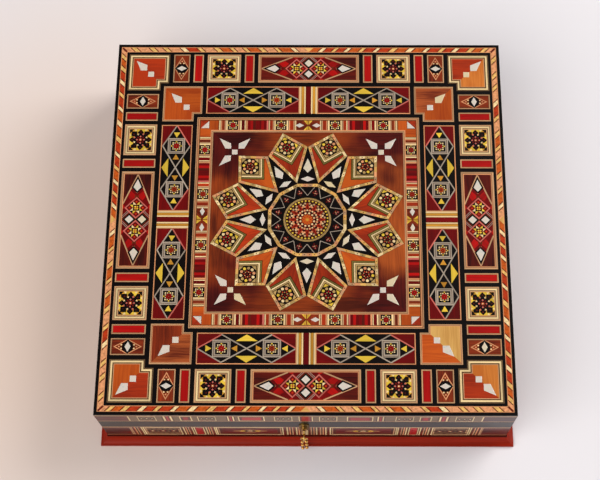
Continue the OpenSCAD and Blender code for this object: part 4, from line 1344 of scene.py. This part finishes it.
class BOX_OT_rosette(Operator):
    """Round mosaic at the middle of the star"""
    bl_idname = "inlaid_box.rosette"
    bl_label = "Rosette"

    def execute(self, context):
        sheet = Sheet(ring_of(96, ROSETTE_R), "khaki")

        def disc(radius, name, count=72):
            sheet.lay(ring_of(count, radius), name)

        def balls(count, radius, size, name, start=0.0):
            for place in range(count):
                angle = start + 360 * place / count
                sheet.lay(ball(*polar(radius, angle), 0.88 * size, angle), name)

        for radius, name in ((16.25, "umber"), (16.0, "khaki"), (15.45, "ebony"), (15.1, "dusk")):
            disc(radius, name, 96)
        disc(14.9, "maroon")
        balls(36, 14.25, 0.8, "lemon", 5)
        balls(36, 13.45, 0.9, "ebony")
        disc(12.6, "crimson")
        balls(24, 12.25, 0.95, "tan", 7.5)
        for place in range(12):
            ray, gap = 30 * place, 30 * place + 15
            sheet.seed(12.2, gap, 0.9, 0.85, "ebony")
            sheet.seed(11.1, gap, 0.85, 0.8, "cream")
            for way in WAYS:
                sheet.seed(11.0, gap, 0.85, 0.7, "ebony", 7 * way)
                sheet.lay(ball(*polar(9.9, gap + 4.6 * way), 0.78, gap), "peach")
            sheet.seed(9.7, ray, 3.3, 1.25, "ember")
            sheet.seed(9.7, ray, 2.3, 0.7, "crimson")
        for radius, size, name, start in ((8.4, 0.95, "ebony", 15), (7.1, 0.95, "peach", 15), (7.0, 0.8, "cream", 0),
                                          (5.9, 0.9, "ebony", 0), (4.9, 0.85, "cream", 15)):
            balls(12, radius, size, name, start)
        sheet.lay(burst(12, 4.3, 3.2), "orange")
        balls(8, 2.4, 0.55, "ember")
        sheet.lay(burst(8, 1.4, 0.9), "honey")
        slab = Slab("rosette_inlay", ((-ROSETTE_R, -ROSETTE_R), (ROSETTE_R, ROSETTE_R)))
        slab.lay_round(sheet, sides=(0,)).build("rosette_disc", "khatam")
        return {"FINISHED"}


class BOX_OT_pearls(Operator):
    """Ninety-two pieces of mother-of-pearl, each with a small bevel"""
    bl_idname = "inlaid_box.pearls"
    bl_label = "Pearls"

    def execute(self, context):
        group = corner_pearls(OUTER_OUT, *OUTER_PEARLS) + corner_pearls(INNER_OUT, *INNER_PEARLS)
        group += [diamond_pearl(), [(-x, y) for x, y in diamond_pearl()]]
        group += long_pearls() + border_pearls() + [border_corner_pearl()] + field_pearls()
        outlines = [moved(points, 0, 0, 90 * side) for side in range(4) for points in group]
        for petal in range(PETALS):
            outlines += gap_pearls(petal * STEP)
        high = reach("pearl_inlays", 2)
        chance = random.Random(finish().seed)
        points, faces, tones = [], [], []
        for outline in outlines:
            outer = anticlockwise(outline)
            rings = ((outer, TOP_Z - VENEER), (outer, high - 0.06), (inset(outer, finish().pearl_bevel / MM), high))
            prism(points, faces, [[(x * MM, y * MM, z * MM) for x, y in ring] for ring, z in rings])
            tones += [chance.random()] * (2 + 2 * len(outer))
        pearls = solid("pearls", points, faces, shell())
        pearls.data.attributes.new("tone", "FLOAT", "FACE").data.foreach_set("value", tones)
        settle(pearls, LID, ["pearl_inlays"])
        return {"FINISHED"}


def prism(points, faces, rings):
    """Adds a closed shape through rings of points, the first at its foot."""
    start, count = len(points), len(rings[0])
    last = start + (len(rings) - 1) * count
    for ring in rings:
        points += ring
    faces += [list(range(last, last + count)), list(range(start, start + count))[::-1]]
    for low in range(start, last, count):
        faces += [[a, b, b + count, a + count] for a, b in ring_pairs(list(range(low, low + count)))]


def side_place(side, low):
    """The plane of one side of the box: x to the right seen from outside, y up from a height."""
    return turned(90 * side) @ Matrix(((1, 0, 0, 0), (0, 0, -1, -HALF), (0, 1, 0, low), (0, 0, 0, 1)))


def courses_of(sheet, courses):
    """Long level strips: low edge, high edge and wood of each."""
    for low, high, wood in courses:
        sheet.lay(block(-HALF, low, HALF, high), wood)


def body_sheet():
    """Body side: mosaic band between pale lines, black above it."""
    sheet = Sheet(block(-HALF, 0, HALF, BODY_HIGH - BODY_LOW), "ebony")
    low, high = 1.4, 23.6
    middle = (low + high) / 2
    courses_of(sheet, ((high, high + 1.0, "tan"), (low - 1.0, low, "russet"), (low, high, "maroon")))
    for way in WAYS:
        sheet.lay(upright(way * 119.8, way * HALF, low, high), "maroon")
        for start, end, width in (((120.4, low), (120.4, high), 1.0), ((121.3, low + 0.8), (HALF, low + 0.8), 0.7),
                                  ((121.3, high - 0.8), (HALF, high - 0.8), 0.7),
                                  ((121.4, low + 0.5), (121.4, high - 0.5), 0.7)):
            sheet.line((way * start[0], start[1]), (way * end[0], end[1]), width, "tan")
        stars = upright(way * 86.5, way * 112.5, low, high)
        sheet.framed(stars, ((0.8, "cream"), (0.5, "umber"), (0.9, "tan")), "dusk")
        for place in (-1, 0, 1):
            put = sheet.stamp(way * (99.5 + place * 7.3), middle)
            put(burst(8, 5.2, 2.6), "ebony")
            put(burst(8, 3.0, 1.6, 22.5), "crimson")
            put(burst(4, 1.5, 0.8), "cream")
            for up in WAYS:
                put(rhomb(3.65, up * 6.6, 1.5, 2.0), "maroon")
                put(rhomb(0, up * 7.7, 1.3, 1.3), "umber")
        red = upright(way * 70.5, way * 77.5, low, high)
        sheet.framed(red, ((0.7, "cream"), (0.35, "umber")), "scarlet", 90)
        long = upright(way * 16.0, way * 62.5, low, high)
        sheet.framed(long, ((0.9, "cream"), (0.7, "umber"), (0.7, "tan"), (1.6, "maroon"), (0.45, "umber")), "crimson")
        centre = way * 39.2
        sheet.lay(rhomb(centre, middle, 13.5, 5.4), "umber")
        sheet.rims(rhomb(centre, middle, 12.4, 4.9), ((0.6, "peach"),))
        for place in (-1, 0, 1):
            sheet.lay(rhomb(centre + place * 5.2, middle, 2.3, 2.3), "lemon" if place else "cream")
            sheet.lay(rhomb(centre + place * 5.2, middle, 1.0, 1.0), "scarlet")
    names = ("cream", "umber", "crimson", "tan", "ebony", "peach", "maroon")
    for start, end, count in ((113.0, 119.4, 7), (78.2, 85.8, 9), (62.8, 70.2, 9), (0.0, 15.6, 17)):
        stripes(sheet, WAYS, start, end, low, high, names, count)
    return sheet


def lid_side_sheet():
    """Lid side: a narrow mosaic band between pale lines, over a black strip at its foot that is painted shadow of the
    gap above the body.
    """
    height = LID_HIGH - LID_LOW
    sheet = Sheet(block(-HALF, 0, HALF, height), "dusk")
    low, high = 2.6, height - 2.5
    middle = (low + high) / 2
    # The black strip from 0 to 1.1 mm at the foot is painted shadow of the gap between the lid and the body
    courses_of(sheet, ((0, 1.1, "ebony"), (1.1, 2.0, "tan"), (height - 1.9, height - 1.0, "tan"), (2.0, low, "umber"),
                       (high, height - 1.9, "umber"), (low, high, "dusk")))
    plan = ((9.0, 21.0, "stars"), (27.5, 45.0, "red"), (47.0, 53.0, "small"), (60.0, 72.0, "stars"),
            (76.0, 84.0, "red"), (88.0, 96.0, "small"), (100.0, 112.0, "stars"), (118.0, HALF, "end"))
    for way in WAYS:
        for start, end, kind in plan:
            panel = upright(way * start, way * end, low, high)
            if kind == "stars":
                sheet.framed(panel, ((0.5, "cream"), (0.4, "umber")), "dusk")
                for place in (-1, 0, 1):
                    put = sheet.stamp(way * (start + end) / 2 + place * 3.6, middle)
                    put(burst(8, 2.3, 1.2), "ebony")
                    put(burst(4, 0.9, 0.5), "cream")
                    for up in WAYS:
                        put(rhomb(0, up * 4.2, 1.2, 1.2), "crimson")
            elif kind == "end":
                sheet.lay(panel, "maroon")
                sheet.line((way * start, low), (way * start, high), 0.9, "cream")
            elif kind == "red":
                left = sheet.rims(panel, ((0.7, "cream"), (0.4, "umber")))
                sheet.lay(left, "crimson")
                sheet.lay(inset(left, 1.3), "scarlet")
            else:
                stripes(sheet, (1,), panel[0][0], panel[1][0], low, high,
                        ("umber", "cream", "crimson", "scarlet", "crimson", "cream", "umber"))
    for half_w, name in ((4.6, "cream"), (4.1, "umber"), (3.6, "crimson"), (2.6, "scarlet")):
        sheet.lay(block(-half_w, low, half_w, high), name, 90)
    return sheet


class BOX_OT_side_mosaics(Operator):
    """Mosaic veneers on the four sides of the body and of the lid"""
    bl_idname = "inlaid_box.side_mosaics"
    bl_label = "Side Mosaics"

    def execute(self, context):
        # half length and height of the hinge leaves, their place along the back, and the eye and slot for the key
        leaf, leaf_h, hinge_x, key_z, eye_r, slot_half, slot_h = 14.0, 1.2, 85.0, 36.0, 1.3, 0.8, 4.8
        for part, body, low, high, sheet_of in (("body", BODY, BODY_LOW, BODY_HIGH, body_sheet),
                                                ("lid", LID, LID_LOW, LID_HIGH, lid_side_sheet)):
            for number, side in enumerate(("front", "right", "back", "left")):
                sheet = sheet_of()
                if part == "lid" and side == "back":
                    sheet.holes(block(way * hinge_x - leaf, -1, way * hinge_x + leaf, leaf_h) for way in WAYS)
                if part == "body" and side == "front":
                    eye = key_z - low
                    sheet.holes([moved(ring_of(24, eye_r), LOCK_X, eye),
                                 block(LOCK_X - slot_half, eye - slot_h, LOCK_X + slot_half, eye)])
                slab = Slab(part + "_inlay_" + side, ((-HALF, low), (HALF, high)))
                slab.lay(sheet, [side_place(number, low)], HALF - VENEER)
                slab.build(part + "_mosaic_" + side, "side_mosaic", body)
        return {"FINISHED"}


# ---- cloth ----


class BOX_OT_velvet(Operator):
    """Velvet: padded floor, walls and lid lining"""
    bl_idname = "inlaid_box.velvet"
    bl_label = "Velvet"

    def execute(self, context):
        red = cloth("velvet", "velvet", 0.7)
        low, high = span_of("floor_pad")
        lid_low, lid_high = span_of("lid_lining")
        # share of the pad's height at its seam, its deepest dent, how far in it is full, and the lining's rounding
        seam, deepest, full_in, rounding, round_r = 0.35, 0.5, 10, 0.6, 3
        chance = random.Random(finish().seed)
        dents = [(chance.uniform(low[0], high[0]), chance.uniform(low[1], high[1]), chance.uniform(18, 45),
                  chance.uniform(0.05, 0.22)) for _ in range(26)]

        def crown(x, y, near):
            dip = sum(depth * math.exp(-((x - px) ** 2 + (y - py) ** 2) / (2 * wide ** 2))
                      for px, py, wide, depth in dents)
            full = seam + (1 - seam) * soft_edge(near, finish().pad_edge / MM)
            return low[2] + (high[2] - low[2]) * full - deepest * min(1, dip) * min(1, near / full_in)

        def ceiling(x, y, near):
            return lid_low[2] + (lid_high[2] - lid_low[2]) * rounding * (1 - soft_edge(near, round_r))

        for piece, body, node, fill in (
            (soft_slab("velvet_floor_pad", low, high, 90, crown, red), BODY, "floor_pad", 0.4),
            (soft_slab("velvet_lid_lining", lid_low, lid_high, 60, ceiling, red, True), LID, "lid_lining", 0.9),
            (wall_velvet(red), BODY, "wall_linings", 0.9),
        ):
            settle(piece, body, [node])
        return {"FINISHED"}


def soft_slab(name, low, high, count, height, material, hangs=False):
    """Closed cloth over a square in plan, with one flat face and the other at a height found for each place."""
    points, faces = [], []
    level = high[2] if hangs else low[2]
    for layer in (0, 1):
        for row in range(count + 1):
            for column in range(count + 1):
                x, y = (low[i] + (high[i] - low[i]) * ease(step / count) for i, step in ((0, column), (1, row)))
                near = min(x - low[0], high[0] - x, y - low[1], high[1] - y)
                points.append((x * MM, y * MM, (height(x, y, near) if layer else level) * MM))
    wide = count + 1
    upper = wide * wide
    rows = [list(range(start, start + wide)) for start in range(0, upper, wide)]
    for near, far in zip(rows, rows[1:]):
        for a, b, c, d in zip(near, near[1:], far[1:], far):
            faces += [[upper + a, upper + b, upper + c, upper + d], [d, c, b, a]]
    border = rows[0] + [row[-1] for row in rows[1:]] + rows[-1][-2::-1] + [row[0] for row in rows[-2:0:-1]]
    faces += [[a, b, upper + b, upper + a] for a, b in ring_pairs(border)]
    piece = solid(name, points, faces, material, smooth=True)
    if hangs:
        piece.data.flip_normals()
    return piece


def ease(share):
    """Closer rows near both ends, for the soft edges."""
    swing = math.cos(math.pi * share)
    return 0.5 - 0.5 * math.copysign(abs(swing) ** 0.8, swing)


def soft_edge(distance, radius):
    """Share of the full height at a distance from the edge of a pad."""
    return 1.0 if distance >= radius else math.sqrt(max(0.0, 1 - (1 - distance / radius) ** 2))


def wall_velvet(material):
    """Four lengths of padded velvet; the front one is cut out round the lock."""
    low, high = span_of("wall_linings")
    cover_low, cover_high = span_of("lock_cover")
    play, thick = 0.15, 1.0
    inner, bottom, top = high[0] - thick, low[2], high[2]
    points, faces = [], []
    for side in range(4):
        outline = block(-inner, bottom, inner, top)
        if side == 0:
            a, b, sill = cover_low[0] - play, cover_high[0] + play, cover_low[2] - play
            outline[3:3] = [(b, top), (b, sill), (a, sill), (a, top)]
        prism(points, faces, [
            [turned(90 * side) @ Vector((x * MM, (-high[1] + rise) * MM, z * MM)) for x, z in inset(outline, step)]
            for step, rise in ((0.7, thick), (0.25, 0.85), (0.0, 0.55), (0.0, 0.0))])
    return solid("velvet_walls", points, faces, material)


class BOX_OT_felt(Operator):
    """Thin felt glued under the base"""
    bl_idname = "inlaid_box.felt"
    bl_label = "Felt"

    def execute(self, context):
        low, high = span_of("base_felt")
        chance = random.Random(finish().seed + 1)
        waves = [(chance.uniform(0.05, 0.35), chance.uniform(0.05, 0.35), chance.uniform(0, 6.3)) for _ in range(6)]
        wave_h, flat_rim, edge_h, edge_r = 0.06, 6, 0.35, 1.5

        def lower(x, y, near):
            wave = sum(math.sin(a * x + b * y + c) for a, b, c in waves) / len(waves)
            return low[2] + wave_h * (1 + wave) * min(1, near / flat_rim) + edge_h * (1 - soft_edge(near, edge_r))

        felt = soft_slab("felt_base", low, high, 60, lower, cloth("felt", "felt", 0.3, 700.0), True)
        settle(felt, BODY, ["base_felt"])
        return {"FINISHED"}


# ---- metal ----


class BOX_OT_hinges(Operator):
    """Two stop hinges at the back"""
    bl_idname = "inlaid_box.hinges"
    bl_label = "Hinges"

    def execute(self, context):
        coat("hinge_left_body_leaf hinge_right_body_leaf hinge_left_lid_leaf hinge_right_lid_leaf hinge_pins",
             metal("hinge brass", "brass"))
        return {"FINISHED"}


class BOX_OT_lock(Operator):
    """Box lock, strike, keyhole plate and key"""
    bl_idname = "inlaid_box.lock"
    bl_label = "Lock"

    def execute(self, context):
        coat("lock_cover strike_plate", metal("lock brass", "brass", 0.24))
        coat("key", metal("key brass", "brass", 0.2, 0.25))
        coat("lock_case keyhole_plate", metal("aged brass", "old_brass", 0.36, 0.7))
        coat("lock_bolt", metal("bolt steel", "steel", 0.3, 0.2))
        coat("strand_ring", metal("ring gilt", "gilt", 0.18, 0.15))
        return {"FINISHED"}


class BOX_OT_screws(Operator):
    """Slotted countersunk screws of the hinges, the lock cover and the strike"""
    bl_idname = "inlaid_box.screws"
    bl_label = "Screws"

    def execute(self, context):
        pattern = screw_pattern()
        brass = metal("screw brass", "brass", 0.22, 0.12)
        tree = screw_tree()
        for node, body in (("body_screws", BODY), ("lid_screws", LID)):
            heads, aims, spins = zip(*screw_spots(node))
            screws = grow("slotted_" + node, heads, {"aim": aims, "spin": spins}, tree,
                          {"Screw": pattern, "Material": brass})
            settle(screws, body, [node])
        bpy.data.objects.remove(pattern)
        return {"FINISHED"}


def screw_spots(node):
    """Head centre, direction out of the wood and slot angle of each screw, from the loose parts of its node."""
    chance = random.Random(node)
    up = 1 if node == "body_screws" else -1
    spots = []
    for low, high in loose_boxes(NODES[node].data):
        x, y, z = (low + high) / 2
        if high.z - low.z > high.y - low.y:
            head, aim = (x, y, high.z if up > 0 else low.z), (0, 0, up)
        else:
            head, aim = (x, high.y, z), (0, 1, 0) if up > 0 else (0, 0, -1)
        spots.append((Vector(head), Vector(aim), chance.uniform(0, math.pi)))
    return spots


def loose_boxes(mesh):
    """Lowest and highest corner of each loose part of a mesh, whose triangles share no corners."""
    work = bmesh.new()
    work.from_mesh(mesh)
    bmesh.ops.remove_doubles(work, verts=work.verts, dist=1e-6)
    boxes, left = [], set(work.verts)
    while left:
        part = [left.pop()]
        for vertex in part:
            near = {edge.other_vert(vertex) for edge in vertex.link_edges} & left
            left -= near
            part += near
        boxes.append([Vector([pick(vertex.co[axis] for vertex in part) for axis in range(3)]) for pick in (min, max)])
    work.free()
    return sorted(boxes, key=lambda box: tuple(box[0]))


def screw_pattern():
    """One countersunk screw with its head at the origin, pointing down, in metres."""
    slot = finish().screw_slot / 2
    head, bevel, shank, deep, sides = 0.0019, 0.00028, 0.0009, 0.0005, 24
    # radius and height of each level: the top of the head, the bottom of the slot, and the rings below them
    levels = ((None, 0), (None, -deep), (head, -0.00022), (0.00135, -0.0006), (shank, -0.001), (shank, -0.006))
    top, foot, rim, tip = 0, 1, 2, 5
    disc = Sheet(ring_of(sides, head - bevel), "head")
    disc.lay(block(-head, -slot, head, slot), "slot")
    flat, pieces = saw(disc.shapes)
    points, faces, number, border, around = [], [], {}, {}, {}

    def corner(index, level):
        if (index, level) not in number:
            number[(index, level)] = len(points)
            radius, z = levels[level]
            scale = radius / math.hypot(*flat[index]) if radius else 1
            points.append((flat[index][0] * scale, flat[index][1] * scale, z))
        return number[(index, level)]

    def wall(start, end, above, below):
        faces.append([corner(end, above), corner(start, above), corner(start, below), corner(end, below)])

    for piece, level in pieces:
        faces.append([corner(index, level) for index in piece])
        border.update({edge: level for edge in ring_pairs(piece)})
    for (start, end), level in border.items():
        other = border.get((end, start))
        if (level, other) == (top, foot):
            wall(start, end, top, foot)
        elif other is None:
            around[start] = end
            courses = [level, *range(rim, tip + 1)]
            for above, below in zip(courses, courses[1:]):
                wall(start, end, above, below)
    faces += [[corner(index, level) for level in (top, foot, rim)] for index in around
              if (index, top) in number and (index, foot) in number]
    loop = [next(iter(around))]
    while around[loop[-1]] != loop[0]:
        loop.append(around[loop[-1]])
    faces.append([corner(index, tip) for index in loop])
    pattern = solid("screw_pattern", points, faces)
    work = bmesh.new()
    work.from_mesh(pattern.data)
    bmesh.ops.recalc_face_normals(work, faces=work.faces)
    work.to_mesh(pattern.data)
    work.free()
    return pattern


def screw_tree():
    screws = Growth("slotted screws", Screw="Object", Material="Material")
    screw = screws.add("GeometryNodeObjectInfo", {"Object": screws.source["Screw"]}, "Geometry")
    aimed = screws.add("FunctionNodeAlignRotationToVector", {"Vector": screws.named("aim", "FLOAT_VECTOR")}, axis="Z")
    spun = screws.add("FunctionNodeRotateRotation",
                      {"Rotation": aimed, "Rotate By": screws.combine(Z=screws.named("spin"))}, rotation_space="LOCAL")
    return screws.close(screws.copies(screws.source["Geometry"], screw, Rotation=spun))


class BOX_OT_beads(Operator):
    """Two strands of gilt beads on thread, hanging from a knot"""
    bl_idname = "inlaid_box.beads"
    bl_label = "Beads"

    def execute(self, context):
        eye_y, swing_z, knot_z, strand_z, foot_z = -147.8, 30.18, 28.63, 26.63, 4.2
        strand_x, pitch, knot_r, seed_r, bead_r, bead_every = 1.4, 1.6, 1.0, 0.65, 1.3, 6
        loop_r, thread_r = 0.75, 0.3
        small, large, edges = [((LOCK_X, eye_y, knot_z), knot_r)], [], []
        for way in WAYS:
            before = 0
            for place in range(int((strand_z - foot_z) // pitch) + 1):
                spot = (LOCK_X + way * strand_x, eye_y, strand_z - place * pitch)
                if (place + 4 + (way > 0)) % bead_every == 0:
                    large.append((spot, bead_r))
                edges.append((before, len(small)))
                before = len(small)
                small.append((spot, seed_r))
        tree = bead_tree()
        # The small beads, thread and loop are darker gilt, partly as painted shade in the gaps between the large beads
        painted_shade_gilt = metal("seed gilt", "old_gilt", 0.2, 0.4, 500.0)
        for name, beads, threads, gilt in (("gilt_seeds", small, edges, painted_shade_gilt),
                                           ("gilt_beads", large, [], metal("bead gilt", "gilt", 0.08, 0.2, 500.0))):
            strand = grow(name, [[value * MM for value in spot] for spot, _ in beads],
                          {"size": [radius * MM for _, radius in beads]}, tree,
                          {"Sides": finish().bead_sides, "Thread": thread_r * MM, "Material": gilt}, threads)
            strand.data.polygons.foreach_set("use_smooth", [True] * len(strand.data.polygons))
            settle(strand, "strands", ["bead_strands"] if threads else [])
        settle(wire_ring("thread_loop", (LOCK_X, eye_y, swing_z), loop_r, thread_r, painted_shade_gilt), "strands", [])
        return {"FINISHED"}


def wire_ring(name, centre, radius, wire, material, around=32, section=12):
    """A closed upright ring of round wire, in mm, seen from the side of the box."""
    points, faces = [], []
    for i in range(around):
        for j in range(section):
            out, aside = polar(wire, 360 * j / section)
            y, z = polar(radius + out, 360 * i / around)
            points.append((Vector(centre) + Vector((aside, y, z))) * MM)
            after_i, after_j = (i + 1) % around * section, (j + 1) % section
            faces.append([i * section + j, after_i + j, after_i + after_j, i * section + after_j])
    return solid(name, points, faces, material, smooth=True)


def bead_tree():
    strand = Growth("bead strands", Sides="Int", Thread="Float", Material="Material")
    bead = strand.add("GeometryNodeMeshUVSphere", {"Segments": strand.source["Sides"], "Rings": 10, "Radius": 1.0})
    beads = strand.copies(strand.source["Geometry"], bead, Scale=strand.named("size"))
    line = strand.add("GeometryNodeMeshToCurve", {"Mesh": strand.source["Geometry"]})
    section = strand.add("GeometryNodeCurvePrimitiveCircle", {"Resolution": 8, "Radius": strand.source["Thread"]})
    thread = strand.add("GeometryNodeCurveToMesh", {"Curve": line, "Profile Curve": section, "Fill Caps": True})
    both = strand.tree.nodes.new("GeometryNodeJoinGeometry")
    strand.fill(both, {0: thread})
    strand.fill(both, {0: beads})
    return strand.close(both.outputs[0])


# ---- stage ----


def floor_material():
    """Pale table top with a painted warm shadow and bounce light beside the left of the box, the same to the camera
    and in reflections.
    """
    table = Surface("pale table")
    place = table.place()
    # Painted shadow and warm bounce light: a warmer, slightly darker patch round a spot beside the box's left side
    patch = table.vector("MULTIPLY", table.vector("SUBTRACT", place, (-0.2, -0.03, 0)), (1.0, 0.62, 1.0))
    painted_bounce_distance = table.vector("LENGTH", patch, out="Value")
    across = table.spread(painted_bounce_distance, 0.02, 0.24, interpolation_type="SMOOTHSTEP")
    # First colour: the painted warm shadow and bounce light; second: the plain pale floor
    table.set({"Base Color": table.mix(across, opaque(stain(227, 205, 190)), opaque(stain(229, 226, 229))),
               "Roughness": 0.9, "Specular IOR Level": 0.2})
    far = table.spread(table.vector("LENGTH", place, out="Value"), 0.6, 2.4)
    backdrop = table.add("ShaderNodeEmission", {"Color": (0.8, 0.79, 0.8, 1)})
    blend = table.add("ShaderNodeMixShader", {0: far, 1: table.shader.outputs[0], 2: backdrop})
    table.fill(table.tree.nodes["Material Output"], {"Surface": blend})
    return table.material


class BOX_OT_stage(Operator):
    """Floor, soft lights and camera"""
    bl_idname = "inlaid_box.stage"
    bl_label = "Stage"

    def execute(self, context):
        half = 6.0
        corners = [(x, y, 0) for x, y in block(-half, -half, half, half)]
        solid("table", corners, [(0, 1, 2, 3)], floor_material())
        for name, place, width, power, tint in (
            ("window", (1.35, 0.75, 1.35), 1.2, 30.0, (1.0, 0.97, 0.94)),
            ("room", (-1.1, -1.2, 1.5), 2.2, 40.0, (1.0, 0.98, 0.97)),
        ):
            lamp = bpy.data.lights.new(name, "AREA")
            lamp.shape, lamp.size, lamp.energy, lamp.color = "SQUARE", width, power, tint
            holder = linked(bpy.data.objects.new(name, lamp))
            holder.location = place
            holder.rotation_euler = (-Vector(place)).to_track_quat("-Z", "Y").to_euler()
        world = bpy.data.worlds.new("studio")
        world.use_nodes = True
        sky = Nodes(world.node_tree)
        way = sky.separate(sky.add("ShaderNodeTexCoord", out="Generated"))
        sky.fill(sky.tree.nodes["Background"], {"Color": (0.97, 0.97, 1.0, 1),
                                                "Strength": sky.spread(way["Z"], 0.2, 0.8, 0.8, 0.1)})
        bpy.context.scene.world = world
        bpy.context.scene.view_settings.view_transform = "Standard"
        camera()
        return {"FINISHED"}


def camera():
    """Camera above the front of the box, looking steeply down."""
    down, yaw, roll, place = 69.78, -0.34, 0.21, Matrix.Translation((0.0166, -0.3331, 0.8512))
    focal_px, centre_x, centre_y, width, height = 1217.6, 328.4, 279.3, 600, 480
    lens = bpy.data.cameras.new("camera")
    lens.sensor_width, lens.clip_start = 36.0, 0.01
    lens.lens = focal_px / width * lens.sensor_width
    lens.shift_x, lens.shift_y = (width / 2 - centre_x) / width, (centre_y - height / 2) / width
    holder = linked(bpy.data.objects.new("camera", lens))
    tilt = Matrix.Rotation(math.radians(90 - down), 4, "X")
    holder.matrix_world = place @ turned(-yaw) @ tilt @ turned(-roll)
    bpy.context.scene.camera = holder


# ---- add-on ----


class BOX_PT_panel(Panel):
    """Sidebar panel with the woods, the finishes and the pieces"""
    bl_idname = "BOX_PT_panel"
    bl_label = "Inlaid Box"
    bl_space_type = "VIEW_3D"
    bl_region_type = "UI"
    bl_category = "Inlaid Box"

    def draw(self, context):
        column = self.layout.column()
        for group in (context.scene.box_woods, context.scene.box_finish):
            for name in group.__annotations__:
                column.prop(group, name)
        for operator in OPERATORS:
            column.operator(operator.bl_idname)


OPERATORS = (
    BOX_OT_stage, BOX_OT_carcass, BOX_OT_plinth, BOX_OT_black_veneers, BOX_OT_rope_stringing, BOX_OT_corner_tiles,
    BOX_OT_diamond_tiles, BOX_OT_red_bars, BOX_OT_star_tiles, BOX_OT_long_panels, BOX_OT_inner_panels,
    BOX_OT_dividers, BOX_OT_mosaic_border, BOX_OT_field, BOX_OT_petals, BOX_OT_dotted_ring, BOX_OT_zigzag_ring,
    BOX_OT_rosette, BOX_OT_pearls, BOX_OT_side_mosaics, BOX_OT_velvet, BOX_OT_felt, BOX_OT_hinges, BOX_OT_lock,
    BOX_OT_screws, BOX_OT_beads,
)
CLASSES = (BoxWoods, BoxFinish) + OPERATORS + (BOX_PT_panel,)


def register():
    for item in CLASSES:
        bpy.utils.register_class(item)
    bpy.types.Scene.box_woods = PointerProperty(type=BoxWoods)
    bpy.types.Scene.box_finish = PointerProperty(type=BoxFinish)


def unregister():
    del bpy.types.Scene.box_finish
    del bpy.types.Scene.box_woods
    for item in reversed(CLASSES):
        bpy.utils.unregister_class(item)


def main():
    register()
    for operator in OPERATORS:
        getattr(bpy.ops.inlaid_box, operator.bl_idname.split(".")[1])()


if __name__ == "__main__":
    main()
